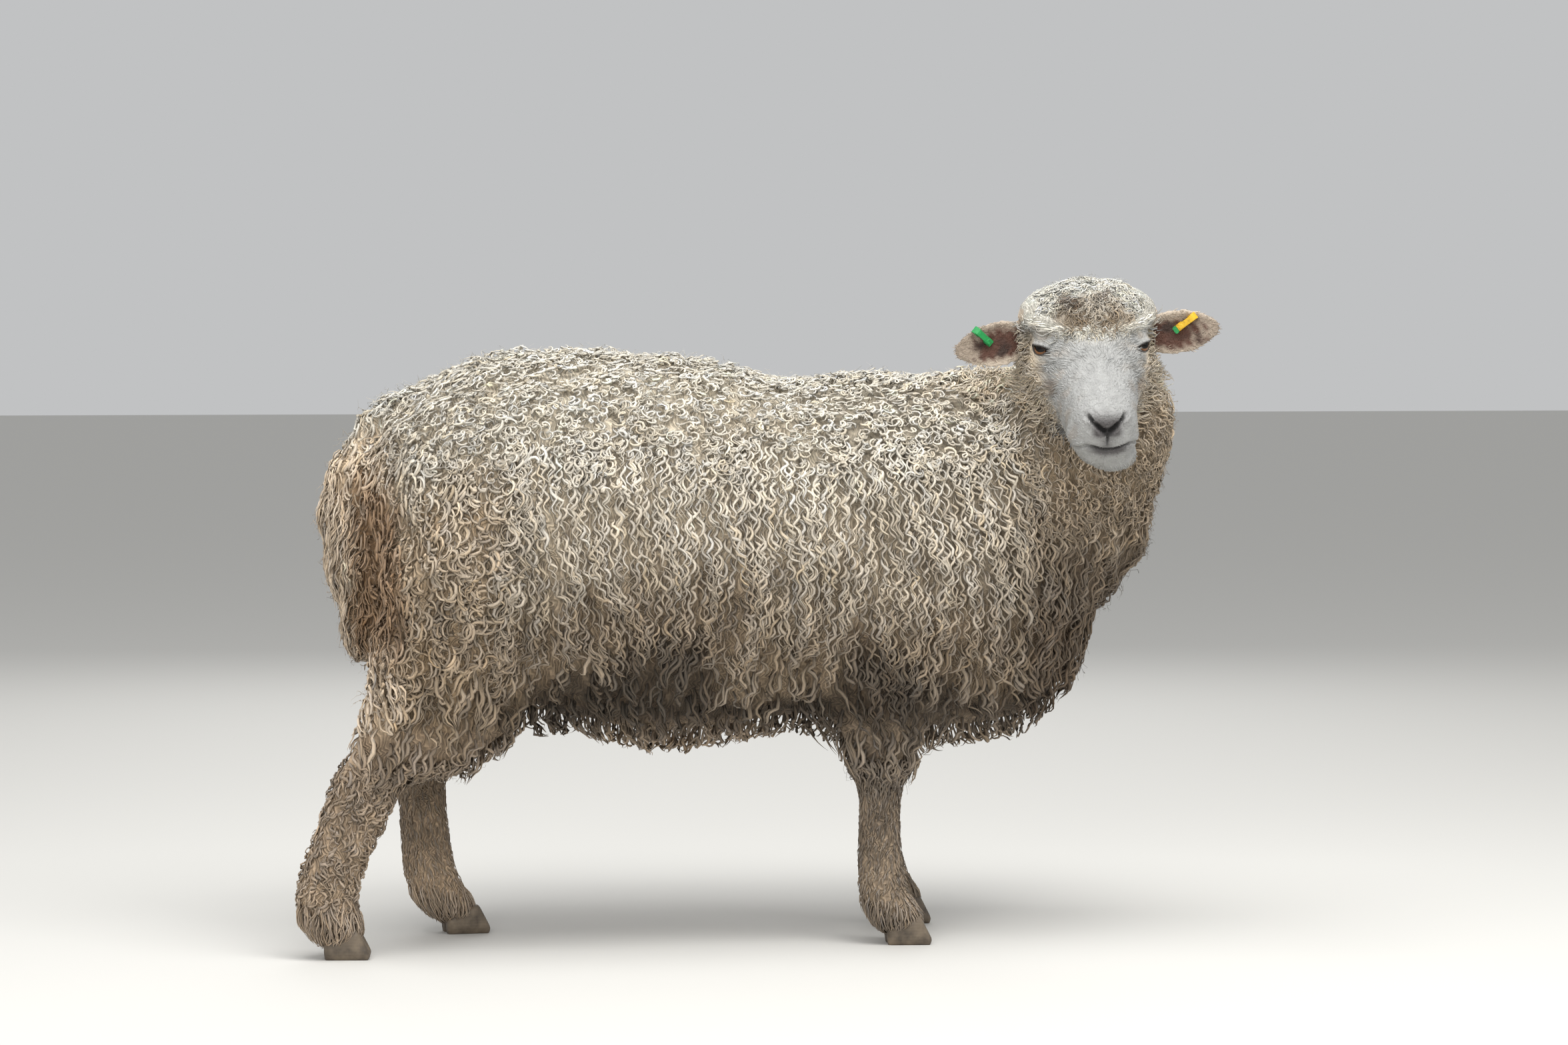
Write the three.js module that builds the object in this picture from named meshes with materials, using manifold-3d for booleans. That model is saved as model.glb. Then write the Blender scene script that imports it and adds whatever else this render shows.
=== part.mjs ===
// A life-size model of a longwool sheep in full fleece, standing square on its right
// hind leg stretched back, with its head turned to its right. Millimetres, +Z up,
// +X towards the chest, +Y towards the sheep's left. Every solid reaches out to the
// tips of the coat. The body is parted where a person would name its parts.
import * as THREE from "three";
import { mergeVertices } from "three/addons/utils/BufferGeometryUtils.js";
import Module from "manifold-3d";

const wasm = await Module();
wasm.setup();

// ---------------------------------------------------------------- driving sizes
const GAP = 0.35; // between neighbouring parts

// The trunk: [x, height of the middle line, half width, rise above it, drop below it].
const TRUNK_SECTIONS = [
  [-585, 590, 110, 112, 150],
  [-550, 585, 180, 165, 195],
  [-490, 570, 226, 229, 222],
  [-400, 560, 252, 270, 236],
  [-300, 558, 262, 278, 258],
  [-200, 556, 265, 271, 281],
  [-100, 554, 263, 263, 272],
  [0, 550, 254, 239, 252],
  [100, 550, 240, 252, 252],
  [200, 545, 226, 254, 268],
  [290, 525, 202, 232, 245],
  [365, 500, 166, 190, 200],
  [415, 495, 118, 130, 135],
];
const TRUNK_SQUARENESS = 2.25; // exponent of the oval: 2 is an ellipse

// The neck runs forward, then bends to the sheep's right: [x, y, z, half width, rise, drop].
const NECK_BASE_SECTIONS = [
  [190, 0, 570, 182, 215, 190],
  [290, 2, 605, 186, 213, 200],
  [370, 4, 645, 176, 188, 212],
  [430, 6, 680, 146, 148, 186],
];
const NECK_TURN_SECTIONS = [
  [398, 44, 672, 124, 108, 136],
  [412, 0, 694, 132, 115, 148],
  [420, -50, 718, 130, 108, 150],
  [420, -100, 740, 122, 96, 138],
  [416, -145, 752, 112, 80, 118],
];
const NECK_PLANE = { through: [318, 0, 640], lean: 24 }; // where the neck leaves the trunk

// The tail hangs in full wool: [x, y, z, half width, half depth behind, in front].
const TAIL_SECTIONS = [
  [-578, 0, 725, 40, 30, 30],
  [-606, 0, 672, 50, 40, 38],
  [-614, 0, 600, 52, 44, 40],
  [-612, 0, 520, 47, 42, 38],
  [-598, 0, 445, 34, 32, 30],
];

// Upper limbs in wool, on the right: [x, y, z, half width, front, back].
const THIGH_SECTIONS = [
  [-436, -118, 645, 112, 96, 96],
  [-452, -142, 545, 122, 138, 130],
  [-478, -142, 445, 106, 140, 124],
  [-492, -132, 365, 93, 128, 122],
  [-505, -124, 305, 80, 128, 130],
  [-532, -118, 268, 62, 100, 112],
];
const LEFT_THIGH_SHIFT = [0, 14, 30, 42, 46, 52]; // how far forward each one stands
const SHOULDER_SECTIONS = [
  [170, -112, 590, 110, 84, 84],
  [155, -142, 495, 104, 112, 104],
  [135, -138, 395, 84, 95, 97],
  [120, -120, 310, 66, 78, 79],
  [118, -111, 266, 54, 70, 70],
];
const LEFT_SHOULDER_SHIFT = [6, 14, 26, 34, 37];

// Lower limbs, hoof by hoof: [x, y, z, half width, front, back].
const SHANKS = {
  fore_right: [
    [118, -106, 300, 38, 44, 44],
    [118, -105, 240, 36, 38, 38],
    [117, -105, 185, 32, 32, 32],
    [118, -105, 115, 32, 34, 35],
    [121, -105, 75, 37, 41, 40],
    [136, -105, 50, 38, 42, 42],
    [149, -105, 32, 36, 38, 42],
  ],
  fore_left: [
    [160, 106, 300, 38, 44, 44],
    [160, 105, 240, 36, 38, 38],
    [159, 105, 185, 32, 32, 32],
    [159, 105, 115, 32, 34, 35],
    [162, 105, 75, 37, 41, 40],
    [177, 105, 50, 38, 42, 42],
    [190, 105, 32, 36, 38, 42],
  ],
  hind_right: [
    [-572, -116, 300, 40, 44, 44],
    [-594, -115, 255, 43, 52, 57],
    [-606, -114, 215, 42, 54, 57],
    [-621, -114, 175, 41, 54, 56],
    [-641, -114, 130, 40, 50, 53],
    [-654, -114, 84, 42, 50, 53],
    [-647, -114, 54, 39, 46, 47],
    [-636, -114, 34, 36, 38, 40],
  ],
  hind_left: [
    [-500, 116, 320, 44, 46, 52],
    [-504, 115, 255, 40, 40, 46],
    [-502, 114, 215, 36, 36, 40],
    [-499, 114, 170, 36, 36, 40],
    [-495, 114, 110, 37, 40, 41],
    [-489, 114, 76, 40, 44, 42],
    [-470, 114, 50, 39, 44, 46],
    [-452, 114, 33, 36, 38, 42],
  ],
};

// Cloven feet: where the middle of each stands on the floor, and how it turns out.
const FEET = {
  fore_right: { x: 158, y: -105, turn: -5 },
  fore_left: { x: 199, y: 105, turn: 5 },
  hind_right: { x: -625, y: -114, turn: -7 },
  hind_left: { x: -440, y: 114, turn: 7 },
};
const HOOF = { heel: -32, toe: 34, toeHeight: 42, heelHeight: 28, width: 23, round: 4 };
const CLAW_SPREAD = 14; // from the middle of the foot to the middle of a claw
const CLAW_SPLAY = 3; // degrees

// The head, in its own frame: x along the palate to the muzzle, y to its left, z up.
// Its origin lies midway between the eyes.
const HEAD = { x: 392, y: -212, z: 832, yaw: -95, pitch: 30, roll: 2.2 };
const SKULL_SECTIONS = [
  [-96, 0, -26, 80, 62, 78],
  [-56, 0, -26, 90, 74, 92],
  [-14, 0, -28, 84, 72, 88],
  [22, 0, -33, 73, 64, 76],
  [60, 0, -40, 58, 57, 62],
  [96, 0, -45, 48, 53, 53],
  [126, 0, -47, 45, 49, 50],
  [148, 0, -49, 41, 42, 46],
];
const SKULL_SQUARENESS = 2.35;
const TOPKNOT = { centre: [-50, 0, 26], half: [74, 97, 51], pitch: -24 };
const EYE = { centre: [-1, 65, 4], radius: 14.5, facing: 58, tilt: 14 };
const LIDS = { thickness: 3, openLength: 15, openHeight: 7, openDepth: 11 };
const LIP = { centre: [133, 20, -55], half: [35, 27, 25] };
const CHIN = { centre: [127, 13, -90], half: [34, 34, 20] };
const NOSTRIL = { centre: [167, 19, -28], half: [12, 4.5, 8] };
const MOUTH = { z: -68, from: 96, to: 200, halfWidth: 80, thick: 2.2, depth: 7 };

// Ears: rows of [distance out from the head, half height, half thickness, cupping].
const EAR_ROOT = { left: [-56, 76, -15.5], right: [-56, 76, -11] };
const EAR_SECTIONS = [
  [-6, 20, 13, 1],
  [16, 26, 9, 5],
  [42, 32, 5.2, 9],
  [68, 31, 4.4, 9],
  [90, 23, 3.8, 5],
  [103, 14, 3.4, 2],
];
const EAR_LIFT = { left: 5, right: -9.5 }; // degrees above level, before the head's roll
const EAR_FORWARD = 8; // degrees that the tips point forwards

// Loop ear tags, folded over an ear's upper edge and leaning in towards the head.
const TAG = { reach: 23, gap: 11, strap: 2.2, width: 8.5, tip: 10 };
const TAG_AT = { left: [74, 8, 16], right: [75, 7, 20] }; // out, forward, up
const TAG_LEAN = { left: 60, right: 39 };
const TAG_STUD = { radius: 3.6, above: 5 };
const TAG_CLIP = { width: 9, height: 6, thick: 3.4 }; // at the foot of the left tag

// ---------------------------------------------------------------- helpers
const rad = THREE.MathUtils.degToRad;

/** Catmull-Rom value of every column of the rows at index t. */
function rowAt(rows, t) {
  const i = Math.min(Math.floor(t), rows.length - 2);
  const f = t - i;
  const at = (k) => rows[THREE.MathUtils.clamp(k, 0, rows.length - 1)];
  return rows[0].map((_, c) => {
    const [a, b, d, e] = [at(i - 1)[c], at(i)[c], at(i + 1)[c], at(i + 2)[c]];
    const slopeIn = (d - a) / 2;
    const slopeOut = (e - b) / 2;
    const rest = 3 * (d - b) - 2 * slopeIn - slopeOut;
    const bend = 2 * (b - d) + slopeIn + slopeOut;
    return b + slopeIn * f + rest * f * f + bend * f * f * f;
  });
}

/**
 * A closed body of oval sections along a smooth line, on a sphere's own grid.
 * rows: [x, y, z, half width, rise, drop, cup]. travel: the sections' common normal,
 * or null to follow the line. side: the width's direction, or null for the level one
 * to the left of travel. caps: how far the two round ends reach.
 */
function loft(rows, { around, steps, travel = null, side = null, caps, square = 2, grow = 0 }) {
  const CAP_RINGS = 3;
  const between = steps * (rows.length - 1);
  const rings = between + 2 * CAP_RINGS;
  const geometry = new THREE.SphereGeometry(1, around, rings);
  const place = geometry.attributes.position;
  const up = new THREE.Vector3(0, 0, 1);
  for (let ring = 0; ring <= rings; ring++) {
    const t = THREE.MathUtils.clamp((ring - CAP_RINGS) / steps, 0, rows.length - 1);
    const [x, y, z, half, rise, drop, cup = 0] = rowAt(rows, t);
    const ahead = rowAt(rows, Math.min(t + 0.05, rows.length - 1));
    const behind = rowAt(rows, Math.max(t - 0.05, 0));
    const along = travel ?? new THREE.Vector3(
      ahead[0] - behind[0], ahead[1] - behind[1], ahead[2] - behind[2],
    ).normalize();
    const across = side ? side.clone() : new THREE.Vector3().crossVectors(up, along);
    across.addScaledVector(along, -across.dot(along)).normalize();
    const over = new THREE.Vector3().crossVectors(along, across);
    const inCap = Math.min(ring, rings - ring, CAP_RINGS) / CAP_RINGS;
    const shrink = Math.sin((inCap * Math.PI) / 2);
    const reach = Math.cos((inCap * Math.PI) / 2);
    const capped = ring < CAP_RINGS ? -(caps[0] + grow) : caps[1] + grow;
    for (let k = 0; k <= around; k++) {
      const angle = (k / around) * 2 * Math.PI;
      const power = (v) => Math.sign(v) * Math.abs(v) ** (2 / square);
      const c = power(Math.cos(angle));
      const s = power(-Math.sin(angle));
      const height = (s > 0 ? rise : drop) + grow;
      const point = new THREE.Vector3(x, y, z)
        .addScaledVector(along, capped * reach)
        .addScaledVector(across, c * (half + grow) * shrink)
        .addScaledVector(over, s * height * shrink + cup * c * c * shrink);
      place.setXYZ(ring * (around + 1) + k, point.x, point.y, point.z);
    }
  }
  return geometry;
}

/** An ellipsoid, pitched about the y axis. */
function blob({ centre, half, pitch = 0 }, { segments = 10, grow = 0, mirror = 1 } = {}) {
  return new THREE.SphereGeometry(1, segments, Math.round(segments * 0.6))
    .scale(half[0] + grow, half[1] + grow, half[2] + grow)
    .rotateY(rad(pitch))
    .translate(centre[0], centre[1] * mirror, centre[2]);
}

/** A geometry as a solid for cutting and joining. */
function solid(geometry) {
  const bare = geometry.clone();
  bare.deleteAttribute("normal");
  bare.deleteAttribute("uv");
  const merged = mergeVertices(bare, 1e-3);
  return new wasm.Manifold(
    new wasm.Mesh({
      numProp: 3,
      vertProperties: merged.attributes.position.array,
      triVerts: new Uint32Array(merged.index.array),
    }),
  );
}

/** The largest body of a solid, back as a geometry. */
function geometryOf(made) {
  const bodies = made.decompose().sort((a, b) => b.volume() - a.volume());
  const { vertProperties, triVerts } = bodies[0].getMesh();
  const geometry = new THREE.BufferGeometry()
    .setAttribute("position", new THREE.BufferAttribute(vertProperties, 3))
    .setIndex(new THREE.BufferAttribute(triVerts, 1));
  geometry.computeVertexNormals();
  return geometry;
}

const joined = (...solids) => solids.reduce((a, b) => a.add(b));
const cut = (from, ...tools) => tools.reduce((a, b) => a.subtract(b), from);

/** A solid of a group's own frame, carried into the sheep's frame. */
function carried(made, group) {
  group.updateMatrixWorld(true);
  return made.transform(group.matrixWorld.elements);
}

const finish = (color, roughness = 0.95, metalness = 0) =>
  new THREE.MeshStandardMaterial({ color, roughness, metalness });

function node(name, made, material, parent) {
  const mesh = new THREE.Mesh(geometryOf(made), material);
  mesh.name = name;
  parent.add(mesh);
  return mesh;
}

// ---------------------------------------------------------------- finishes
const WOOL = finish(0xd9ccb4);
const LEG_WOOL = finish(0xa89a84);
const FACE = finish(0xdcd8cf);
const HORN = finish(0x4a423a, 0.6);
const EYE_FINISH = finish(0x2a1c12, 0.1);
const GREEN_TAG = finish(0x3fae5a, 0.4);
const YELLOW_TAG = finish(0xe6c229, 0.4);

// ---------------------------------------------------------------- trunk and tail
const LEFT = new THREE.Vector3(0, 1, 0);
const FORWARD = new THREE.Vector3(1, 0, 0);
const DOWN = new THREE.Vector3(0, 0, -1);

function trunkSolid(grow = 0) {
  const rows = TRUNK_SECTIONS.map(([x, z, half, rise, drop]) => [x, 0, z, half, rise, drop]);
  const shape = { around: 22, steps: 1, travel: FORWARD, side: LEFT, caps: [22, 26] };
  return solid(loft(rows, { ...shape, square: TRUNK_SQUARENESS, grow }));
}

function tailSolid() {
  const shape = { around: 12, steps: 1, travel: DOWN, side: LEFT, caps: [24, 52] };
  const rows = TAIL_SECTIONS.map(([x, y, z, half, back, front]) => [x, y, z, half, front, back]);
  return solid(loft(rows, shape));
}

function neckSolid() {
  return joined(
    solid(loft(NECK_BASE_SECTIONS, { around: 16, steps: 1, caps: [30, 70] })),
    solid(loft(NECK_TURN_SECTIONS, { around: 18, steps: 1, caps: [96, 40] })),
  );
}

// ---------------------------------------------------------------- limbs
function limbRows(rows, side, shifts) {
  return rows.map(([x, y, z, half, front, back], i) => [
    x + (side > 0 ? shifts[i] : 0), -side * y, z, half, front, back,
  ]);
}

function upperLimb(rows, caps, grow = 0) {
  return solid(loft(rows, { around: 14, steps: 1, travel: DOWN, side: LEFT, caps, grow }));
}

function shankSolid(rows) {
  return solid(loft(rows, { around: 10, steps: 1, travel: DOWN, side: LEFT, caps: [20, 14] }));
}

/** One claw: a wedge with a flat sole, its toe towards +x. */
function clawGeometry(grow = 0) {
  const { heel, toe, toeHeight, heelHeight, width, round } = HOOF;
  const inset = round - grow;
  const outline = new THREE.Shape()
    .moveTo(heel + inset, inset)
    .lineTo(toe - inset * 1.6, inset)
    .quadraticCurveTo(toe - inset, inset + 1, toe - inset * 1.8, inset + 5)
    .lineTo(toe - 22, toeHeight - inset)
    .lineTo(heel + inset, heelHeight - inset)
    .closePath();
  return new THREE.ExtrudeGeometry(outline, {
    depth: width - 2 * round,
    bevelThickness: round + grow,
    bevelSize: round,
    bevelSegments: 2,
    curveSegments: 2,
  })
    .translate(0, 0, -(width - 2 * round) / 2)
    .rotateX(Math.PI / 2);
}

function footGroup({ x, y, turn }) {
  const group = new THREE.Group();
  group.position.set(x, y, 0);
  group.rotation.z = rad(turn);
  return group;
}

function placedClaw(inward, grow) {
  return clawGeometry(grow).rotateZ(rad(inward * CLAW_SPLAY)).translate(0, inward * CLAW_SPREAD, 0);
}

// ---------------------------------------------------------------- head
function skullSolid(grow = 0) {
  const shape = { around: 18, steps: 2, travel: FORWARD, side: LEFT, caps: [26, 22] };
  const parts = [solid(loft(SKULL_SECTIONS, { ...shape, square: SKULL_SQUARENESS, grow }))];
  for (const mirror of [1, -1]) {
    parts.push(solid(blob(LIP, { grow, mirror })));
    parts.push(solid(eyeball(mirror, LIDS.thickness + grow)));
  }
  parts.push(solid(blob(CHIN, { grow })));
  return joined(...parts);
}

/** The closed mouth: a thin groove round the muzzle, between the lips. */
function mouthGroove() {
  const { z, from, to, halfWidth, thick, depth } = MOUTH;
  const slab = new THREE.BoxGeometry(to - from, 2 * halfWidth, thick)
    .rotateY(rad(4))
    .translate((from + to) / 2, 0, z);
  return cut(solid(slab), skullSolid(-depth));
}

function faceSolid() {
  const holes = [mouthGroove()];
  for (const mirror of [1, -1]) {
    holes.push(solid(blob(NOSTRIL, { segments: 8, mirror })));
    holes.push(solid(eyeball(mirror, GAP)), solid(lidOpening(mirror)));
  }
  return cut(skullSolid(), ...holes);
}

/** The almond between the lids, looking out to the side and a little forward. */
function lidOpening(mirror) {
  const { centre, radius, facing, tilt } = EYE;
  return new THREE.SphereGeometry(1, 12, 8)
    .scale(LIDS.openDepth, LIDS.openLength, LIDS.openHeight)
    .rotateX(rad(-mirror * tilt))
    .translate(radius, 0, 0)
    .rotateZ(rad(mirror * facing))
    .translate(centre[0], centre[1] * mirror, centre[2]);
}

function eyeball(mirror, grow = 0) {
  return new THREE.SphereGeometry(EYE.radius + grow, 12, 8)
    .translate(EYE.centre[0], EYE.centre[1] * mirror, EYE.centre[2]);
}

const topknotSolid = (grow = 0) => solid(blob(TOPKNOT, { segments: 15, grow }));

/** An ear's own frame: x out along the ear, y towards the face, z up its height. */
function earGroup(sideName, mirror) {
  const group = new THREE.Group();
  const [x, y, z] = EAR_ROOT[sideName];
  group.position.set(x, y * mirror, z);
  const level = new THREE.Matrix4().makeRotationY(-rad(HEAD.pitch));
  const out = new THREE.Vector3(
    Math.sin(rad(EAR_FORWARD)), mirror * Math.cos(rad(EAR_FORWARD)), Math.sin(rad(EAR_LIFT[sideName])),
  ).normalize();
  const forward = new THREE.Vector3(1, 0, 0).addScaledVector(out, -out.x).normalize();
  const tall = new THREE.Vector3().crossVectors(out, forward);
  const frame = new THREE.Matrix4().makeBasis(out, forward, tall);
  group.quaternion.setFromRotationMatrix(level.multiply(frame));
  return group;
}

function earSolid(grow = 0) {
  const rows = EAR_SECTIONS.map(([d, half, thick, cup]) => [d, 0, 0, half, thick, thick, cup]);
  const side = new THREE.Vector3(0, 0, -1);
  return solid(loft(rows, { around: 12, steps: 1, side, caps: [6, 8], grow }));
}

/** A strap folded over the ear's edge, held by a stud through both of its legs. */
function tagSolid(grow = 0) {
  const { reach, gap, strap, width } = TAG;
  const outer = gap / 2 + strap + grow;
  const inner = gap / 2 - grow;
  const loop = new THREE.Shape()
    .moveTo(outer, -reach - grow)
    .lineTo(outer, 0)
    .absarc(0, 0, outer, 0, Math.PI, false)
    .lineTo(-outer, -reach - grow)
    .lineTo(-inner, -reach - grow)
    .lineTo(-inner, 0)
    .absarc(0, 0, inner, Math.PI, 0, true)
    .lineTo(inner, -reach - grow)
    .closePath();
  const deep = width + 2 * grow;
  const band = new THREE.ExtrudeGeometry(loop, { depth: deep, bevelEnabled: false, curveSegments: 4 });
  const stud = new THREE.CylinderGeometry(
    TAG_STUD.radius + grow, TAG_STUD.radius + grow, gap + 2 * strap + 1.6 + 2 * grow, 8,
  );
  return joined(
    solid(band.translate(0, 0, -deep / 2)),
    solid(stud.rotateZ(Math.PI / 2).translate(0, TAG_STUD.above - reach, 0)),
  );
}

function clipSolid() {
  const front = TAG.gap / 2 + TAG.strap / 2;
  return solid(
    new THREE.BoxGeometry(TAG_CLIP.thick, TAG_CLIP.height, TAG_CLIP.width)
      .translate(front, -TAG.reach - GAP - TAG_CLIP.height / 2, 0),
  );
}

/** A tag's own frame: x through the ear towards the face, y up the tag. */
function tagGroup(sideName, mirror) {
  const group = new THREE.Group();
  const [out, forward, above] = TAG_AT[sideName];
  const lean = rad(TAG_LEAN[sideName]);
  const up = new THREE.Vector3(Math.sin(lean), 0, -mirror * Math.cos(lean));
  const through = new THREE.Vector3(0, 1, 0);
  group.quaternion.setFromRotationMatrix(
    new THREE.Matrix4().makeBasis(through, up, new THREE.Vector3().crossVectors(through, up)),
  );
  group.rotateZ(-rad(TAG.tip));
  group.position.set(out, forward, -mirror * above);
  return group;
}

// ---------------------------------------------------------------- the sheep
const sheep = new THREE.Group();

const trunkTool = trunkSolid(GAP);
const barrel = joined(trunkSolid(), neckSolid());
const forwardUp = [Math.cos(rad(NECK_PLANE.lean)), 0, Math.sin(rad(NECK_PLANE.lean))];
const planeAt = forwardUp.reduce((sum, part, i) => sum + part * NECK_PLANE.through[i], 0);
node("trunk", barrel.trimByPlane(forwardUp.map((part) => -part), GAP / 2 - planeAt), WOOL, sheep);
node("tail", cut(tailSolid(), trunkTool), WOOL, sheep);

const limbTools = [];
for (const side of [-1, 1]) {
  const hand = side < 0 ? "right" : "left";
  for (const [limb, upperName, rows, shifts, caps] of [
    ["hind", "thigh", THIGH_SECTIONS, LEFT_THIGH_SHIFT, [30, 34]],
    ["fore", "shoulder", SHOULDER_SECTIONS, LEFT_SHOULDER_SHIFT, [30, 46]],
  ]) {
    const upperRows = limbRows(rows, side, shifts);
    const upper = cut(upperLimb(upperRows, caps), trunkTool);
    node(`${upperName}_${hand}`, upper, WOOL, sheep);
    limbTools.push(upperLimb(upperRows, caps, GAP));

    const foot = footGroup(FEET[`${limb}_${hand}`]);
    sheep.add(foot);
    const claws = [-1, 1].map((inward) => {
      const place = inward * side > 0 ? "outer" : "inner";
      node(`hoof_${limb}_${hand}_${place}`, solid(placedClaw(inward, 0)), HORN, foot);
      return carried(solid(placedClaw(inward, GAP)), foot);
    });
    const shank = cut(
      shankSolid(SHANKS[`${limb}_${hand}`]), trunkTool, upperLimb(upperRows, caps, GAP), ...claws,
    );
    node(`${limb}leg_${hand}`, shank, LEG_WOOL, sheep);
  }
}

const head = new THREE.Group();
head.position.set(HEAD.x, HEAD.y, HEAD.z);
head.rotation.set(rad(HEAD.roll), rad(HEAD.pitch), rad(HEAD.yaw), "ZYX");
sheep.add(head);
const headTools = [skullSolid(GAP), topknotSolid(GAP)];
node("head", faceSolid(), FACE, head);
node("topknot", cut(topknotSolid(), skullSolid(GAP)), WOOL, head);

const neckTools = headTools.map((tool) => carried(tool, head));
for (const [sideName, mirror] of [["left", 1], ["right", -1]]) {
  node(`eye_${sideName}`, solid(eyeball(mirror)), EYE_FINISH, head);

  const ear = earGroup(sideName, mirror);
  head.add(ear);
  const tag = tagGroup(sideName, mirror);
  ear.add(tag);
  node(`tag_${sideName}`, tagSolid(), sideName === "left" ? YELLOW_TAG : GREEN_TAG, tag);
  if (sideName === "left") node("tag_left_clip", clipSolid(), GREEN_TAG, tag);

  ear.updateMatrix();
  tag.updateMatrix();
  const intoEar = new THREE.Matrix4().copy(ear.matrix).invert().elements;
  const around = headTools.map((tool) => tool.transform(intoEar));
  const slots = [tagSolid(GAP).transform(tag.matrix.elements)];
  if (sideName === "left") slots.push(clipSolid().transform(tag.matrix.elements));
  node(`ear_${sideName}`, cut(earSolid(), ...around, ...slots), FACE, ear);
  neckTools.push(carried(earSolid(GAP), ear));
}

node("neck", cut(barrel.trimByPlane(forwardUp, planeAt + GAP / 2), ...limbTools, ...neckTools), WOOL, sheep);

// The origin is on the floor, under the middle of the whole sheep.
const box = new THREE.Box3().setFromObject(sheep, true);
sheep.position.set(-(box.min.x + box.max.x) / 2, -(box.min.y + box.max.y) / 2, 0);

export default sheep;
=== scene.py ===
# %% [markdown]
# # A longwool sheep, life size
# The solids give the size and the outline, out to the tips of the fleece. Here the
# sheep gets what those solids stand for: one skin, eyes, hooves, ear tags, and a coat
# of tens of thousands of locks and hairs, each one a small closed form.

# %% Load the frame
import math

import bmesh
import bpy
import numpy as np
from mathutils import Matrix, Vector
from mathutils.bvhtree import BVHTree
from mathutils.kdtree import KDTree


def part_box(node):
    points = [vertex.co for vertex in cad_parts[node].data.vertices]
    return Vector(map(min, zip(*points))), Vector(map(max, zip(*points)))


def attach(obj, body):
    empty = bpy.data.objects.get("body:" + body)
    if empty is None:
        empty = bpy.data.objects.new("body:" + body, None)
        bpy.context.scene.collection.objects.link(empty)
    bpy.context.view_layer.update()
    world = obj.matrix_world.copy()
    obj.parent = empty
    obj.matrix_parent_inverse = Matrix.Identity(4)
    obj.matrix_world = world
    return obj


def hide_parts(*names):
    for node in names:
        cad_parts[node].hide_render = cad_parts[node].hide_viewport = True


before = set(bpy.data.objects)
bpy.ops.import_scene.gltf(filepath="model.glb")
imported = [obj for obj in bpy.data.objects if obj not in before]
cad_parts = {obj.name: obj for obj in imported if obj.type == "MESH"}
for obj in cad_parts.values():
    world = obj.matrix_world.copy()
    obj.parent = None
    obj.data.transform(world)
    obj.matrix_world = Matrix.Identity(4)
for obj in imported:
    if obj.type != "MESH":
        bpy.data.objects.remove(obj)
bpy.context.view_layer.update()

# %% [markdown]
# ## Places
# The trunk is even about its own middle, so the middle of its box gives the line that
# every other size is counted from. The head has a frame of its own: x to the muzzle, y
# to the sheep's left, z up through the forehead, with its origin between the eyes.

# %% The middle of the body and the frame of the head
trunk_low, trunk_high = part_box("trunk")
MIDDLE = np.array([trunk_low.x + 0.607, (trunk_low.y + trunk_high.y) / 2, 0.0])
HEAD_AT = MIDDLE + (0.392, -0.212, 0.832)
HEAD_TURN = (
    Matrix.Rotation(math.radians(-95), 3, "Z")
    @ Matrix.Rotation(math.radians(30), 3, "Y")
    @ Matrix.Rotation(math.radians(2.2), 3, "X")
)
HEAD_AXES = np.array(HEAD_TURN)
EYE_AT = np.array([-0.001, 0.065, 0.004])  # the left one, in the head's frame
EYE_RADIUS = 0.0145
HEAD_REACH = 0.24  # nothing of the head is farther from its origin


def in_head(points):
    """Points of the sheep, in the head's own frame."""
    return (points - HEAD_AT) @ HEAD_AXES


def from_head(points):
    """Points of the head's own frame, in the sheep's."""
    return points @ HEAD_AXES.T + HEAD_AT


def span(vectors):
    """The length of each vector."""
    return np.linalg.norm(vectors, axis=-1)


def unit(vectors):
    """Vectors of the same direction and length 1."""
    return vectors / np.maximum(span(vectors), 1e-9)[..., None]


def from_eye(local):
    """Distance of points in the head's own frame from the nearer eye."""
    return span(np.stack([local[:, 0], np.abs(local[:, 1]), local[:, 2]], 1) - EYE_AT)


print("body's middle", MIDDLE.round(4), "head at", HEAD_AT.round(4))

# %% [markdown]
# ## Camera, floor and light
# A long lens from six metres away, at the height of the sheep's back, looks a little
# down and a little towards the head. Large area lamps and a pale world give the soft
# light of an overcast day, which shows the waves of the wool without hard shadows.

# %% Camera
LENS = 97.7  # millimetres
CAMERA_FROM_MIDDLE = (-1.042, -5.909, 0.85)
CAMERA_DOWN, CAMERA_TURN = math.radians(2.52), math.radians(-10)
camera_data = bpy.data.cameras.new("camera")
camera_data.sensor_width = 36
camera_data.lens = LENS
camera_data.clip_end = 100
camera = bpy.data.objects.new("camera", camera_data)
camera.location = MIDDLE + CAMERA_FROM_MIDDLE
camera.rotation_euler = (math.radians(90) - CAMERA_DOWN, 0, CAMERA_TURN)
bpy.context.collection.objects.link(camera)
bpy.context.scene.camera = camera
print("camera at", [round(value, 3) for value in camera.location])


# %% Lamps and world
def lamp(name, place, aim, size, power, colour=(1, 1, 1)):
    """A large square lamp at a place, turned to an aim."""
    data = bpy.data.lights.new(name, "AREA")
    data.size = size
    data.energy = power
    data.color = colour
    thing = bpy.data.objects.new(name, data)
    thing.location = place
    thing.rotation_euler = (Vector(aim) - Vector(place)).to_track_quat("-Z", "Y").to_euler()
    bpy.context.collection.objects.link(thing)


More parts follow.
